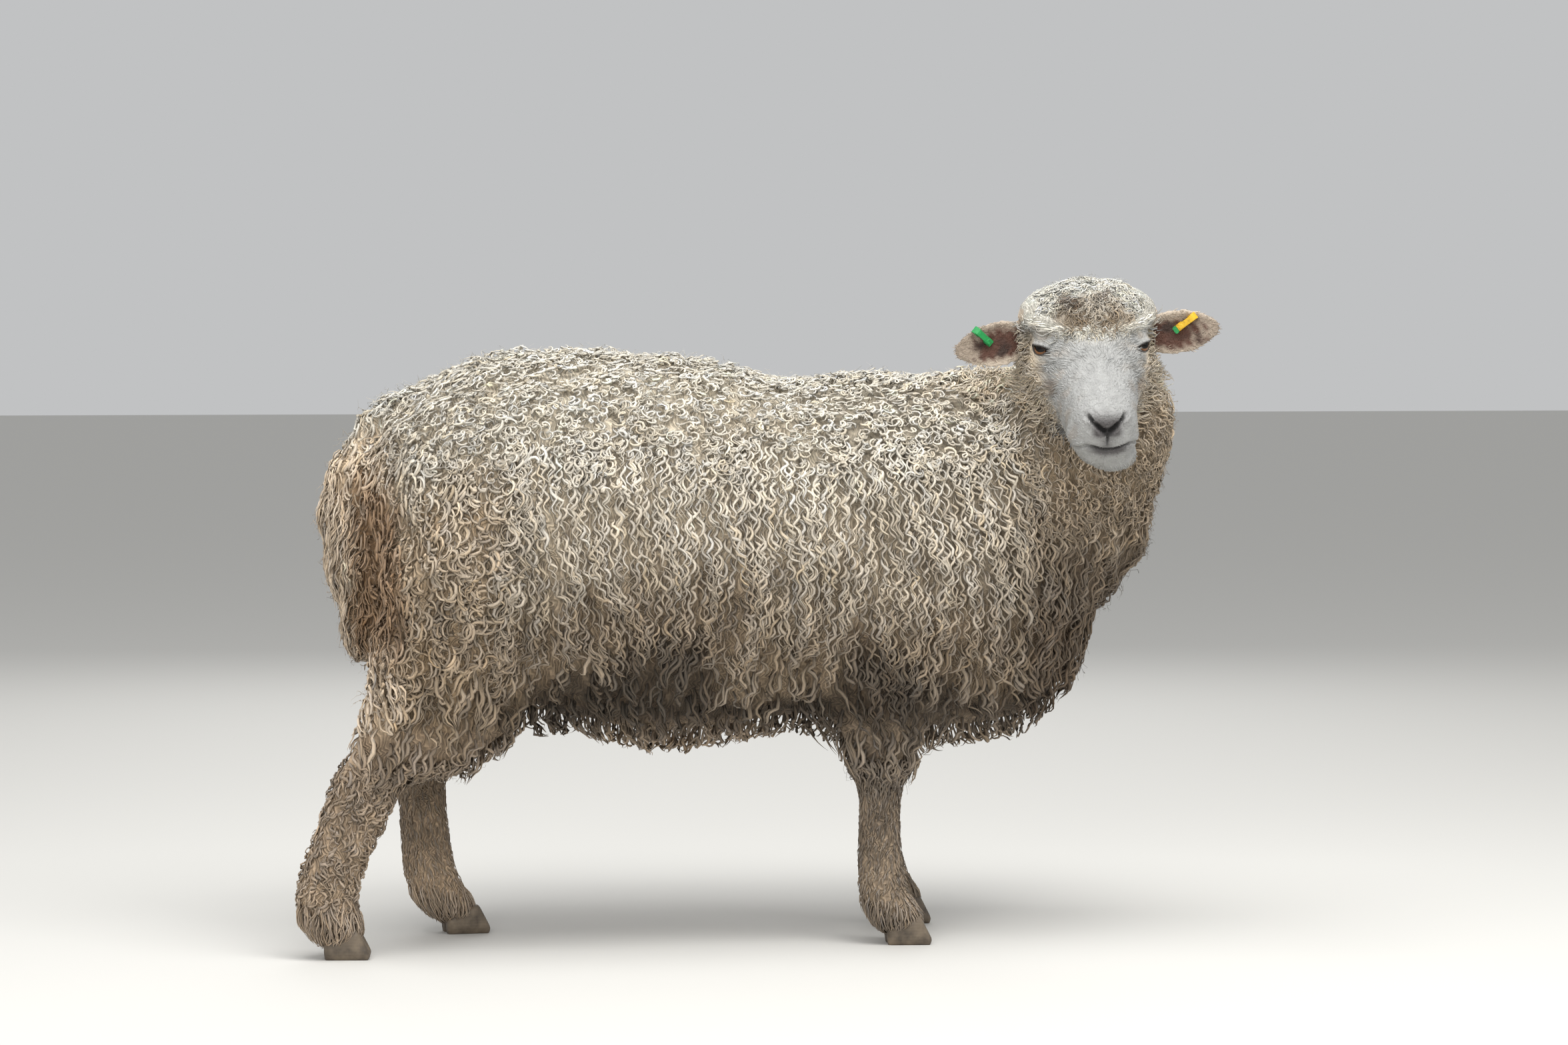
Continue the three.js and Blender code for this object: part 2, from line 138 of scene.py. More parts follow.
lamp("lamp_sky", (-0.6, -1.2, 4.2), (0, 0, 0.4), 3.0, 140)
lamp("lamp_front", (-1.6, -4.6, 2.0), (0.1, 0, 0.5), 2.5, 80, (1.0, 0.985, 0.96))
lamp("lamp_right", (3.6, -2.6, 2.2), (0.2, 0, 0.6), 2.2, 22, (0.97, 0.985, 1.0))
lamp("lamp_head", (0.9, -1.7, 3.1), (0.45, -0.2, 0.85), 1.4, 50, (1.0, 0.99, 0.97))
lamp("lamp_behind", (0.5, 4.0, 2.8), (0, 0, 0.5), 3.0, 45)

world = bpy.data.worlds.new("pale_sky")
world.use_nodes = True
world.node_tree.nodes["Background"].inputs["Color"].default_value = (0.86, 0.87, 0.88, 1)
world.node_tree.nodes["Background"].inputs["Strength"].default_value = 0.62
bpy.context.scene.world = world
bpy.context.scene.view_settings.view_transform = "Standard"
print("five lamps and a pale world")


# %% [markdown]
# ## Materials as formulas
# A pattern is easier to read as a sum than as a web of nodes. The class below wraps a
# socket, so that + - * on it add Math nodes, and one method makes every other node.

# %% A socket that can be used in sums
class Wire:
    """A node's output, or a plain number, in one material."""

    def __init__(self, tree, socket):
        self.tree = tree
        self.socket = socket

    def node(self, kind, settings=None, inputs=None):
        """A new node with these settings, its inputs joined to wires or set to numbers."""
        made = self.tree.nodes.new(kind)
        for name, value in (settings or {}).items():
            if name == "stops":
                ramp = made.color_ramp
                while len(ramp.elements) < len(value):
                    ramp.elements.new(1.0)
                for element, (place, colour) in zip(ramp.elements, value):
                    element.position = place
                    element.color = (*colour, 1)
            else:
                setattr(made, name, value)
        for name, value in (inputs or {}).items():
            if isinstance(value, Wire):
                self.tree.links.new(value.socket, made.inputs[name])
            else:
                made.inputs[name].default_value = value
        return made

    def out(self, kind, settings=None, inputs=None, output=0):
        """A new node's output, as a wire."""
        return Wire(self.tree, self.node(kind, settings, inputs).outputs[output])

    def math(self, operation, *values):
        pairs = dict(enumerate(values))
        return self.out("ShaderNodeMath", {"operation": operation}, pairs)

    def __add__(self, other):
        return self.math("ADD", self, other)

    def __sub__(self, other):
        return self.math("SUBTRACT", self, other)

    def __mul__(self, other):
        return self.math("MULTIPLY", self, other)

    def __radd__(self, other):
        return self.math("ADD", other, self)

    def __rsub__(self, other):
        return self.math("SUBTRACT", other, self)

    def __rmul__(self, other):
        return self.math("MULTIPLY", other, self)

    def sine(self):
        return self.math("SINE", self)

    def axis(self, number):
        """One of this vector's three numbers."""
        return self.out("ShaderNodeSeparateXYZ", None, {"Vector": self}, number)

    def ramp(self, *stops):
        """Colours, each with its place between 0 and 1, picked by this number."""
        return self.out("ShaderNodeValToRGB", {"stops": stops}, {"Fac": self})

    def smooth(self, low, high):
        """0 below low, 1 above high, with a soft step between."""
        settings = {"interpolation_type": "SMOOTHSTEP"}
        return self.out("ShaderNodeMapRange", settings, {"Value": self, "From Min": low, "From Max": high})

    def noise(self, scale, detail=3.0, rough=0.55):
        """Cloudy noise at this vector: a number about 0.5."""
        inputs = {"Vector": self, "Scale": scale, "Detail": detail, "Roughness": rough}
        return self.out("ShaderNodeTexNoise", None, inputs)

    def blend(self, other, factor, kind="MIX"):
        """This colour, turning into the other as the factor goes from 0 to 1."""
        settings = {"data_type": "RGBA", "clamp_factor": True, "blend_type": kind}
        return self.out("ShaderNodeMix", settings, {0: factor, 6: self, 7: other}, 2)

    def tinted(self, other):
        """This colour times another colour or a grey number."""
        return self.blend(other, 1.0, "MULTIPLY")


def place_in(start):
    """Where a point is on the object."""
    return start.out("ShaderNodeTexCoord", output=3)


def kept(start, name, output=2):
    """A number (output 2) or a colour (output 0) kept on a mesh's points."""
    return start.out("ShaderNodeAttribute", {"attribute_name": name}, output=output)


def finish(name, roughness=0.8, **constants):
    """A new material, its shader, and a wire to start patterns from."""
    material = bpy.data.materials.new(name)
    material.use_nodes = True
    tree = material.node_tree
    shader = tree.nodes["Principled BSDF"]
    shader.inputs["Roughness"].default_value = roughness
    for socket, value in constants.items():
        shader.inputs[socket.replace("_", " ")].default_value = value
    return material, shader, Wire(tree, None)


def paint(shader, start, colour=None, bump=None, strength=0.5, distance=0.001, roughness=None):
    """Joins a colour, a height and a roughness to a shader."""
    links = start.tree.links
    if colour is not None:
        links.new(colour.socket, shader.inputs["Base Color"])
    if roughness is not None:
        links.new(roughness.socket, shader.inputs["Roughness"])
    if bump is not None:
        inputs = {"Height": bump, "Strength": strength, "Distance": distance}
        links.new(start.out("ShaderNodeBump", None, inputs).socket, shader.inputs["Normal"])


def linear(red, green, blue):
    """A colour as a screen shows it (0 to 255), as the light that it stands for."""
    parts = np.array([red, green, blue]) / 255
    return np.where(parts <= 0.04045, parts / 12.92, ((parts + 0.055) / 1.055) ** 2.4)


print("formula class ready")

# %% [markdown]
# ## Points as arrays
# A body has tens of thousands of points, and a loop over them in Python is slow. Blender
# can copy them all into an array at once, and back, so the sums below work on arrays. A
# soft step, a bell and a few summed waves are enough to describe most of an animal.

# %% Small sums
def smoothstep(low, high, value):
    """0 at low and 1 at high, with a soft step between."""
    t = np.clip((value - low) / (high - low), 0, 1)
    return t * t * (3 - 2 * t)


def bell(value, width):
    """1 at zero, falling away smoothly on both sides over this width."""
    return np.exp(-((value / width) ** 2))


def mix(a, b, share):
    """From a to b, as the share of each row goes from 0 to 1."""
    share = np.asarray(share)[..., None]
    return a * (1 - share) + b * share


def field(points, length, seed):
    """A smooth random value about 0 that changes over roughly this length."""
    draw = np.random.RandomState(seed)
    total = np.zeros(len(points))
    for _ in range(6):
        way = draw.normal(size=3)
        way *= 2 * math.pi / length * draw.uniform(0.7, 1.4) / np.linalg.norm(way)
        total += np.sin(points @ way + draw.uniform(0, 6.28))
    return total / 2.45


print("half a soft step:", smoothstep(0, 1, 0.5))


# %% Meshes as arrays
def read(items, key, kind, width):
    """One property of all of a mesh's points or edges, as an array this many wide."""
    flat = np.empty(len(items) * width, kind)
    items.foreach_get(key, flat)
    return flat.reshape(-1, width)


def points_of(mesh):
    return read(mesh.vertices, "co", np.float32, 3).astype(float)


def normals_of(mesh):
    return read(mesh.vertex_normals, "vector", np.float32, 3).astype(float)


def edges_of(mesh):
    return read(mesh.edges, "vertices", np.int32, 2)


def set_points(mesh, points):
    mesh.vertices.foreach_set("co", points.astype(np.float32).ravel())
    mesh.update()


def set_attribute(mesh, name, values):
    """Keeps a number or a colour on each point, where a material can read it."""
    if values.ndim == 2:
        values = np.concatenate([np.clip(values, 0, 1), np.ones((len(values), 1))], 1)
    kind, key = ("FLOAT_COLOR", "color") if values.ndim == 2 else ("FLOAT", "value")
    mesh.attributes.new(name, kind, "POINT")
    mesh.attributes[name].data.foreach_set(key, values.astype(np.float32).ravel())


def tree_of(points):
    """A tree that quickly finds the nearest of these points."""
    tree = KDTree(len(points))
    for index, point in enumerate(points):
        tree.insert(point, index)
    tree.balance()
    return tree


def averaged(values, edges):
    """Each value replaced by the mean of its neighbours' values."""
    count = np.bincount(edges.ravel(), minlength=len(values))
    a, b = edges.T
    columns = [
        np.bincount(a, values[b, k], len(values)) + np.bincount(b, values[a, k], len(values))
        for k in range(values.shape[1])
    ]
    return np.stack(columns, 1) / np.maximum(count, 1)[:, None]


def softened(values, edges, weight, rounds):
    """Plain averaging, which takes facets out, as strongly as each point's weight says."""
    for _ in range(rounds):
        values = values + 0.5 * weight * (averaged(values, edges) - values)
    return values


print("trunk has", len(points_of(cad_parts["trunk"].data)), "points")

# %% [markdown]
# ## The body as one closed form
# The solids are parted where the animal's parts are named, and real skin has no such
# seams. Voxel remeshing joins copies of them into one closed surface, and relaxing that
# surface by plain averaging takes the flat facets out.

# %% Copies of solids, joined by voxels
LEGS = ["foreleg_left", "foreleg_right", "hindleg_left", "hindleg_right"]
QUARTERS = ["shoulder_left", "shoulder_right", "thigh_left", "thigh_right"]
BODY_NODES = ["trunk", "neck", "tail", *QUARTERS, *LEGS]
HEAD_NODES = ["head", "topknot", "ear_left", "ear_right"]
BODY_VOXEL, FACE_VOXEL, CLAW_VOXEL = 0.009, 0.0026, 0.0020


def mesh_from(form, name):
    """A mesh of this name made from a bmesh, which is then freed."""
    mesh = bpy.data.meshes.new(name)
    form.to_mesh(mesh)
    form.free()
    return mesh


def add_piece(name, mesh):
    piece = bpy.data.objects.new(name, mesh)
    bpy.context.collection.objects.link(piece)
    return piece


def cad_copy(name, nodes, swell=0.0008):
    """The solids of these nodes in one object, swollen so that the gaps between close."""
    form = bmesh.new()
    for node in nodes:
        form.from_mesh(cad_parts[node].data)
    bmesh.ops.remove_doubles(form, verts=form.verts, dist=1e-6)
    form.normal_update()
    for vert in form.verts:
        vert.co += vert.normal * swell
    return add_piece(name, mesh_from(form, name))


def apply_modifiers(piece):
    """Puts the result of a piece's modifiers in the place of its mesh."""
    graph = bpy.context.evaluated_depsgraph_get()
    mesh = bpy.data.meshes.new_from_object(piece.evaluated_get(graph))
    old = piece.data
    piece.modifiers.clear()
    piece.data = mesh
    bpy.data.meshes.remove(old)


def remesh(piece, size):
    """Rebuilds a piece as one closed surface, from voxels of this size."""
    modifier = piece.modifiers.new("voxels", "REMESH")
    modifier.mode = "VOXEL"
    modifier.voxel_size = size
    apply_modifiers(piece)


print("body of", len(BODY_NODES), "nodes, head of", len(HEAD_NODES))

# %% [markdown]
# ## How deep the coat is, part by part
# A point of the joined surface has lost its part's name, so it is asked of the nearest
# solid, with a tree that finds nearest faces quickly. The depth of the wool, and later
# its colour and its lie, follow from that name. Soft lumps and long partings are waves
# added to the outline, because real wool is never as smooth as a pillow.

# %% Which part of the body a point belongs to
part_names = BODY_NODES + ["head", "topknot"]
part_points, part_faces, part_of_face = [], [], []
for index, part in enumerate(part_names):
    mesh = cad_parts[part].data
    first = len(part_points)
    part_points += [vert.co[:] for vert in mesh.vertices]
    part_faces += [tuple(first + corner for corner in face.vertices) for face in mesh.polygons]
    part_of_face += [index] * len(mesh.polygons)
part_tree = BVHTree.FromPolygons(part_points, part_faces)


def parts_at(points):
    """The name of the nearest solid to each point."""
    found = [part_of_face[part_tree.find_nearest(Vector(point))[2]] for point in points]
    return np.array(part_names)[found]


SLENDER = {*LEGS, "tail", "head", "topknot"}
COAT_DEPTH = {
    "trunk": 0.017, "neck": 0.010, "tail": 0.010, "shoulder_left": 0.016, "shoulder_right": 0.016,
    "thigh_left": 0.015, "thigh_right": 0.015, "foreleg_left": 0.003, "foreleg_right": 0.003,
    "hindleg_left": 0.003, "hindleg_right": 0.008, "head": 0.004, "topknot": 0.010,
}


def relax_body(mesh):
    """Takes the facets out of a body mesh, gently on the legs, tail and head."""
    edges = edges_of(mesh)
    points = points_of(mesh)
    weight = np.array([[0.18 if part in SLENDER else 1.0] for part in parts_at(points)])
    weight = softened(weight, edges, 1.0, 10)
    points = softened(points, edges, weight, 34)
    set_points(mesh, points)
    return points, edges


def relief(points):
    """How far the fleece stands out: soft lumps, and partings that run down the sides."""
    x, y, z = (points - MIDDLE).T
    dock = 0.024 * np.exp(-(((x + 0.555) / 0.026) ** 2) - (y / 0.07) ** 2) * smoothstep(0.68, 0.73, z)
    on_body = smoothstep(0.28, 0.36, z) * smoothstep(0.24, 0.30, span(points - HEAD_AT))
    run = x + 0.10 * (z - 0.5) + 0.012 * np.sin(z * 21) + 0.020 * np.sin(z * 9 + 1)
    wave = np.sin(run * 52) + np.sin(run * 31 + 1.3) + 0.8 * np.sin(run * 83 + 0.4)
    parting = bell(wave, 0.42) * smoothstep(0.70, 0.45, z)
    lumps = 0.0035 * field(points, 0.085, 71) + 0.0020 * field(points, 0.045, 72)
    by_head = smoothstep(0.44, 0.34, span(points - HEAD_AT)) * smoothstep(0.50, 0.60, z)
    woolly = by_head * smoothstep(0.02, -0.03, in_head(points)[:, 0])
    puffs = 0.0030 * field(points, 0.045, 73) + 0.0022 * field(points, 0.024, 74)
    return on_body * (lumps - 0.011 * parting) + woolly * puffs + dock


print("depth of coat from", min(COAT_DEPTH.values()), "to", max(COAT_DEPTH.values()), "m")

# %% The outline of the fleece, as a surface to lay wool on
fleece_form = cad_copy("fleece_form", BODY_NODES + ["head", "topknot"])
remesh(fleece_form, BODY_VOXEL)
form_points, form_edges = relax_body(fleece_form.data)
form_points += normals_of(fleece_form.data) * relief(form_points)[:, None]
set_points(fleece_form.data, form_points)
form_normals = unit(softened(normals_of(fleece_form.data), form_edges, 1.0, 4))
form_faces = [tuple(face.vertices) for face in fleece_form.data.polygons]
form_tree = BVHTree.FromPolygons(form_points.tolist(), form_faces)
form_out = unit(np.array([form_normals[list(face)].mean(0) for face in form_faces]))
print("fleece form:", len(form_points), "points")

# %% [markdown]
# ## Skin
# Under the wool the skin lies inside the outline by the depth of the coat: deep on the
# trunk, thin on the legs, and almost nothing on the face. The depth is looked up part
# by part and then averaged over the surface, so that it changes without a step.

# %% The body's skin
skin = cad_copy("skin", BODY_NODES)
remesh(skin, BODY_VOXEL)
skin_points, skin_edges = relax_body(skin.data)
depth = np.array([[COAT_DEPTH[part]] for part in parts_at(skin_points)])
depth = softened(depth, skin_edges, 1.0, 14)
inward = unit(softened(normals_of(skin.data), skin_edges, 1.0, 6))
depth = depth + 0.0008 - relief(skin_points)[:, None]
skin_points = softened(skin_points - inward * depth, skin_edges, 0.5, 3)
skin_points[:, 2] = np.maximum(skin_points[:, 2], 0.012)
set_points(skin.data, skin_points)
print("body skin:", len(skin_points), "points")

# %% The head's skin, with more points where the face is fine
face_skin = cad_copy("face_skin", [*HEAD_NODES, "eye_left", "eye_right"], 0.0006)
remesh(face_skin, FACE_VOXEL)
face_edges = edges_of(face_skin.data)
face_points = points_of(face_skin.data)
on_skull = 1 - smoothstep(0.075, 0.095, np.abs(in_head(face_points)[:, 1]))
face_points = softened(face_points, face_edges, np.maximum(on_skull, 0.12)[:, None], 24)
set_points(face_skin.data, face_points)
local = in_head(face_points)
full = 0.0008 * on_skull + 0.0030 * smoothstep(0.05, 0.11, local[:, 0])
face_points += normals_of(face_skin.data) * full[:, None]
set_points(face_skin.data, face_points)
local = in_head(face_points)
on_muzzle = (local[:, 0] > 0.135) & (local[:, 2] > -0.088)
close = (from_eye(local) < 0.030) | on_muzzle
fine = bmesh.new()
fine.from_mesh(face_skin.data)
chosen = [edge for edge in fine.edges if close[edge.verts[0].index] and close[edge.verts[1].index]]
bmesh.ops.subdivide_edges(fine, edges=chosen, cuts=1, use_grid_fill=True, smooth=0.0)
bmesh.ops.triangulate(fine, faces=[face for face in fine.faces if len(face.verts) > 4])
fine.to_mesh(face_skin.data)
fine.free()
face_edges = edges_of(face_skin.data)
face_points = points_of(face_skin.data)
print("head skin:", len(face_points), "points")

# %% [markdown]
# ## Eyelids, nostrils and mouth
# These are pressed into the skin by moving its points. Round each eye the skin follows
# a ball a little larger than the eyeball, and inside an almond between the lids it
# drops behind the eyeball's surface. Nostrils, lips and the cleft of the upper lip are
# grooves along short lines. The nostrils and the mouth's slit are also painted nearly
# black, as painted shade in openings that are only shallow grooves here.

# %% Pressing the features in
EYE_FACING = math.radians(43)
EYE_TILT = math.radians(-12)
LID = 0.0019


def eye_frame(mirror):
    """Columns: out of the eye, along its opening towards the nose, and up."""
    out = np.array([math.cos(EYE_FACING), mirror * math.sin(EYE_FACING), 0.0])
    flat = np.array([math.sin(EYE_FACING), -mirror * math.cos(EYE_FACING), 0.0])
    up = np.array([0.0, 0.0, 1.0])
    along = flat * math.cos(EYE_TILT) - up * math.sin(EYE_TILT)
    return np.stack([out, along, np.cross(out, along) * mirror * -1], 1)


def to_segment(points, a, b):
    """Distance to a line between two points, and how far along it, 0 to 1."""
    a, b = np.array(a), np.array(b)
    t = np.clip((points - a) @ (b - a) / ((b - a) @ (b - a)), 0, 1)
    return span(points - a - t[:, None] * (b - a)), t


local = in_head(face_points)
local_normals = normals_of(face_skin.data) @ HEAD_AXES
marks = {name: np.zeros(len(local)) for name in ("dark", "rim", "bare", "dark_hair_and_shade")}


def mark(name, amount):
    """Keeps the stronger of a mark so far and this amount."""
    marks[name] = np.maximum(marks[name], amount)


def pressed_in(points, depth):
    """Points moved inward along the skin's normals by a depth for each."""
    return points - local_normals * depth[:, None]


socket = np.zeros(len(local))
for mirror in (1, -1):
    reach = span(local - EYE_AT * (1, mirror, 1))
    socket = np.maximum(socket, smoothstep(0.046, 0.030, reach))
local = softened(local, face_edges, socket[:, None], 30)
print("lids are prepared on", sum(socket > 0.5), "points")

# %% Eyelids
LID_ZONE = 0.026  # how far from an eye's middle its lids reach
for mirror in (1, -1):
    axes = eye_frame(mirror)
    offset = local - EYE_AT * (1, mirror, 1)
    out, along, up = (offset @ axes).T
    reach = span(offset)
    front = out > 0.001
    wide = np.where(along > 0, 0.0168, 0.0140)
    lift = np.where(up > 0.0005, 0.0064, 0.0056) * (1 - 0.25 * smoothstep(0, 0.02, along))
    almond = (along / wide) ** 2 + ((up - 0.0005) / lift) ** 2
    inside = front & (almond < 1) & (reach < LID_ZONE)
    upper = smoothstep(-0.002, 0.004, up)
    lid = EYE_RADIUS + LID + 0.0012 * upper * smoothstep(3.5, 1.2, almond)
    covered = np.maximum(reach, lid + 0.3 * np.maximum(reach - lid, 0))
    wanted = np.where(inside, EYE_RADIUS - 0.0035, np.where(reach < LID_ZONE, covered, reach))
    wanted = np.where(out > -0.006, wanted, reach)
    offset = offset / np.maximum(reach, 1e-6)[:, None] * wanted[:, None]
    crease = bell(almond - 4.2, 1.0) * front * (up > 0.001) * bell(reach - 0.0165, 0.006)
    offset -= axes[:, 0] * (0.0013 * crease)[:, None]
    local = offset + EYE_AT * (1, mirror, 1)
    lashes = np.where(up > 0.001, 2.3, 1.7)
    mark("rim", front * smoothstep(lashes, 1.3, almond) * (reach < LID_ZONE))
    mark("bare", front * smoothstep(2.3, 1.9, almond) * (reach < LID_ZONE))
    duct, _ = to_segment(local, (0.017, 0.0590 * mirror, 0.003), (0.031, 0.0575 * mirror, -0.011))
    tear = bell(duct, 0.0026)
    local = pressed_in(local, 0.0020 * tear)
    mark("rim", 0.6 * tear)
print("lids round", sum(marks["bare"] > 0.5), "bare points")

# %% Nostrils
NOSTRIL_BEND = (0.166, 0.0195, -0.0200)
for mirror in (1, -1):
    flip = np.array([1, mirror, 1])
    outer, t = to_segment(local, NOSTRIL_BEND * flip, (0.154, 0.0268, -0.0110) * flip)
    inner, u = to_segment(local, (0.171, 0.0045, -0.0300) * flip, NOSTRIL_BEND * flip)
    nostril = np.maximum(bell(outer, 0.0026 - 0.0008 * t), bell(inner, 0.0034 - 0.0008 * u))
    nostril *= local[:, 0] > 0.13
    local = pressed_in(local, 0.0075 * nostril)
    # painted shade: the nostrils' grooves are painted nearly black, as the dark of the openings
    mark("dark", smoothstep(0.12, 0.75, nostril) * (1 - 0.25 * t))
    wing, _ = to_segment(local, (0.170, 0.008, -0.036) * flip, (0.152, 0.036, -0.016) * flip)
    local = pressed_in(local, -0.0018 * bell(wing, 0.005))
    mark("dark_hair_and_shade", 0.60 * bell(inner, 0.009))
    mark("dark_hair_and_shade", 0.40 * bell(outer, 0.006))
print("nostrils on", sum(marks["dark"] > 0.5), "dark points")

# %% Cleft of the lip, and the mouth
cleft, t = to_segment(local, (0.173, 0, -0.033), (0.172, 0, -0.054))
groove = bell(cleft, 0.0022 - 0.0009 * t) * (local[:, 0] > 0.14)
local = pressed_in(local, 0.0030 * groove)
mark("dark", (0.95 - 0.25 * t) * smoothstep(0.15, 0.7, groove))
patch = np.sqrt((local[:, 1] / 0.0085) ** 2 + ((local[:, 2] + 0.0315) / 0.0065) ** 2)
mark("dark", 0.92 * smoothstep(1.25, 0.5, patch) * (local[:, 0] > 0.14))
side = np.abs(local[:, 1])
JAW_SHIFT = 0.004
off_jaw = np.abs(local[:, 1] - JAW_SHIFT)
mouth_height = -0.0590 + 0.0045 * smoothstep(0.004, 0.030, off_jaw)
mouth_height -= 0.0120 * smoothstep(0.032, 0.050, off_jaw)
from_mouth = local[:, 2] - mouth_height
mouth = bell(from_mouth, 0.0026) * (local[:, 0] > 0.098)
local = pressed_in(local, 0.0040 * mouth)
on_front = local[:, 0] > 0.12
closed = 0.85 * smoothstep(0.044, 0.016, off_jaw)
# painted shade: the mouth's slit is painted dark
mark("dark", smoothstep(0.45, 0.95, mouth) * closed * on_front)
# painted shadow: the upper lip's shade, a dark band just below the mouth's line
lower_lip = bell(from_mouth + 0.0040, 0.0065) * smoothstep(0.038, 0.014, off_jaw)
mark("dark_hair_and_shade", 0.95 * lower_lip * on_front)
between = smoothstep(0.026, 0.014, side) * smoothstep(-0.003, -0.020, local[:, 2])
between *= smoothstep(-0.044, -0.034, local[:, 2])
mark("dark_hair_and_shade", 0.95 * between * on_front)
mark("dark_hair_and_shade", 0.60 * bell(cleft, 0.010))
face_points = from_head(local)
set_points(face_skin.data, face_points)
print("features pressed in at", sum(marks["dark"] > 0.5), "dark points")

# %% Taking the head's skin in under the hair
side = np.abs(local[:, 1])
knot = smoothstep(0.038, 0.060, local[:, 2] + 0.15 * local[:, 0]) * smoothstep(0.055, 0.02, local[:, 0])
cheek = smoothstep(-0.005, -0.045, local[:, 0]) * smoothstep(0.02, -0.02, local[:, 2])
on_ear = smoothstep(0.088, 0.100, side)
puffs = 0.0030 * field(face_points, 0.030, 75) + 0.0012 * field(face_points, 0.012, 76)
hair = (0.0012 + (0.007 - puffs) * knot + (0.006 - puffs) * cheek) * (1 - on_ear) + 0.0006 * on_ear
hair = hair * smoothstep(0.018, 0.034, from_eye(local))
hair = softened(hair[:, None], face_edges, 1.0, 10)
face_normals = softened(normals_of(face_skin.data), face_edges, 1.0, 2)
face_points -= face_normals * hair
set_points(face_skin.data, face_points)

# %% One skin from both
union = skin.modifiers.new("head", "BOOLEAN")
union.operation = "UNION"
union.solver = "MANIFOLD"
union.object = face_skin
apply_modifiers(skin)
bpy.data.objects.remove(face_skin)
skin.data.materials.clear()
skin.data.shade_smooth()
skin_points = points_of(skin.data)
skin_normals = normals_of(skin.data)
skin.data.calc_loop_triangles()
skin_triangles = np.array([triangle.vertices[:] for triangle in skin.data.loop_triangles])
skin_tree = BVHTree.FromPolygons(skin_points.tolist(), skin_triangles.tolist())
print("skin:", len(skin_points), "points,", len(skin_triangles), "triangles")

# %% [markdown]
# ## Unwrap
# The skin is opened out flat by Blender's smart projection, which cuts it wherever it
# turns too far. Each lock of the coat later takes a tiny patch of this map at the place
# where it grows, so that one picture can hold the colours of skin and coat together.

# %% Opening the skin out
bpy.context.view_layer.objects.active = skin
skin.select_set(True)
bpy.ops.object.mode_set(mode="EDIT")
bpy.ops.mesh.select_all(action="SELECT")
bpy.ops.uv.smart_project(angle_limit=math.radians(66), island_margin=0.0008)
bpy.ops.object.mode_set(mode="OBJECT")
skin.data.uv_layers[0].name = "OFBake"
unwrap = read(skin.data.uv_layers[0].data, "uv", np.float32, 2)
corner_of_triangle = np.array([triangle.loops[:] for triangle in skin.data.loop_triangles])
place_of_triangle = unwrap[corner_of_triangle].mean(1)
print("unwrap reaches", unwrap.min(0).round(3), "to", unwrap.max(0).round(3))

# %% [markdown]
# ## Markings
# One function gives the colour of the wool at any place on the body. Skin and coat both
# ask it, so a gap between two locks shows the same marks as the locks do. The back is
# cream, the flanks greyer, and the thighs and tail yellowed. The belly is dark with dirt
# and with painted shade, darkest behind the elbows and before the thighs; the chest under
# the chin and the partings between clumps are darkened as painted shade, and the wool
# round the head is lightened above the chin as painted light.

# %% Palette
WOOL = {
    name: linear(*shade) for name, shade in {
        "back": (236, 229, 214), "flank": (220, 208, 189), "low": (170, 153, 132),
        "belly": (86, 75, 62), "thigh": (196, 173, 144), "tail": (234, 213, 187),
        "neck": (206, 184, 156), "chest": (92, 75, 57), "ruff": (255, 236, 208),
        "foreleg": (150, 135, 118), "hindleg": (174, 155, 134), "knot": (255, 250, 236),
        "face": (158, 158, 156), "dirt": (156, 131, 101), "mud": (100, 76, 54),
        "stain": (158, 124, 90),
    }.items()
}
# dark patches on the belly behind the elbows and before the thighs: dirt, and painted shade
BELLY_PATCHES = [  # centre and reach of each
    ((x, y, 0.375), reach)
    for y in (-0.20, 0.20) for x, reach in ((-0.21, (0.11, 0.22, 0.085)), (0.10, (0.07, 0.20, 0.085)))
]
print(len(WOOL), "wool colours")


# %% Markings of the body and head
def spot(points, centre, reach):
    """1 at a centre, fading to 0 at the reach, as an ellipsoid."""
    return smoothstep(1.0, 0.55, span((points - np.array(centre)) / np.array(reach)))


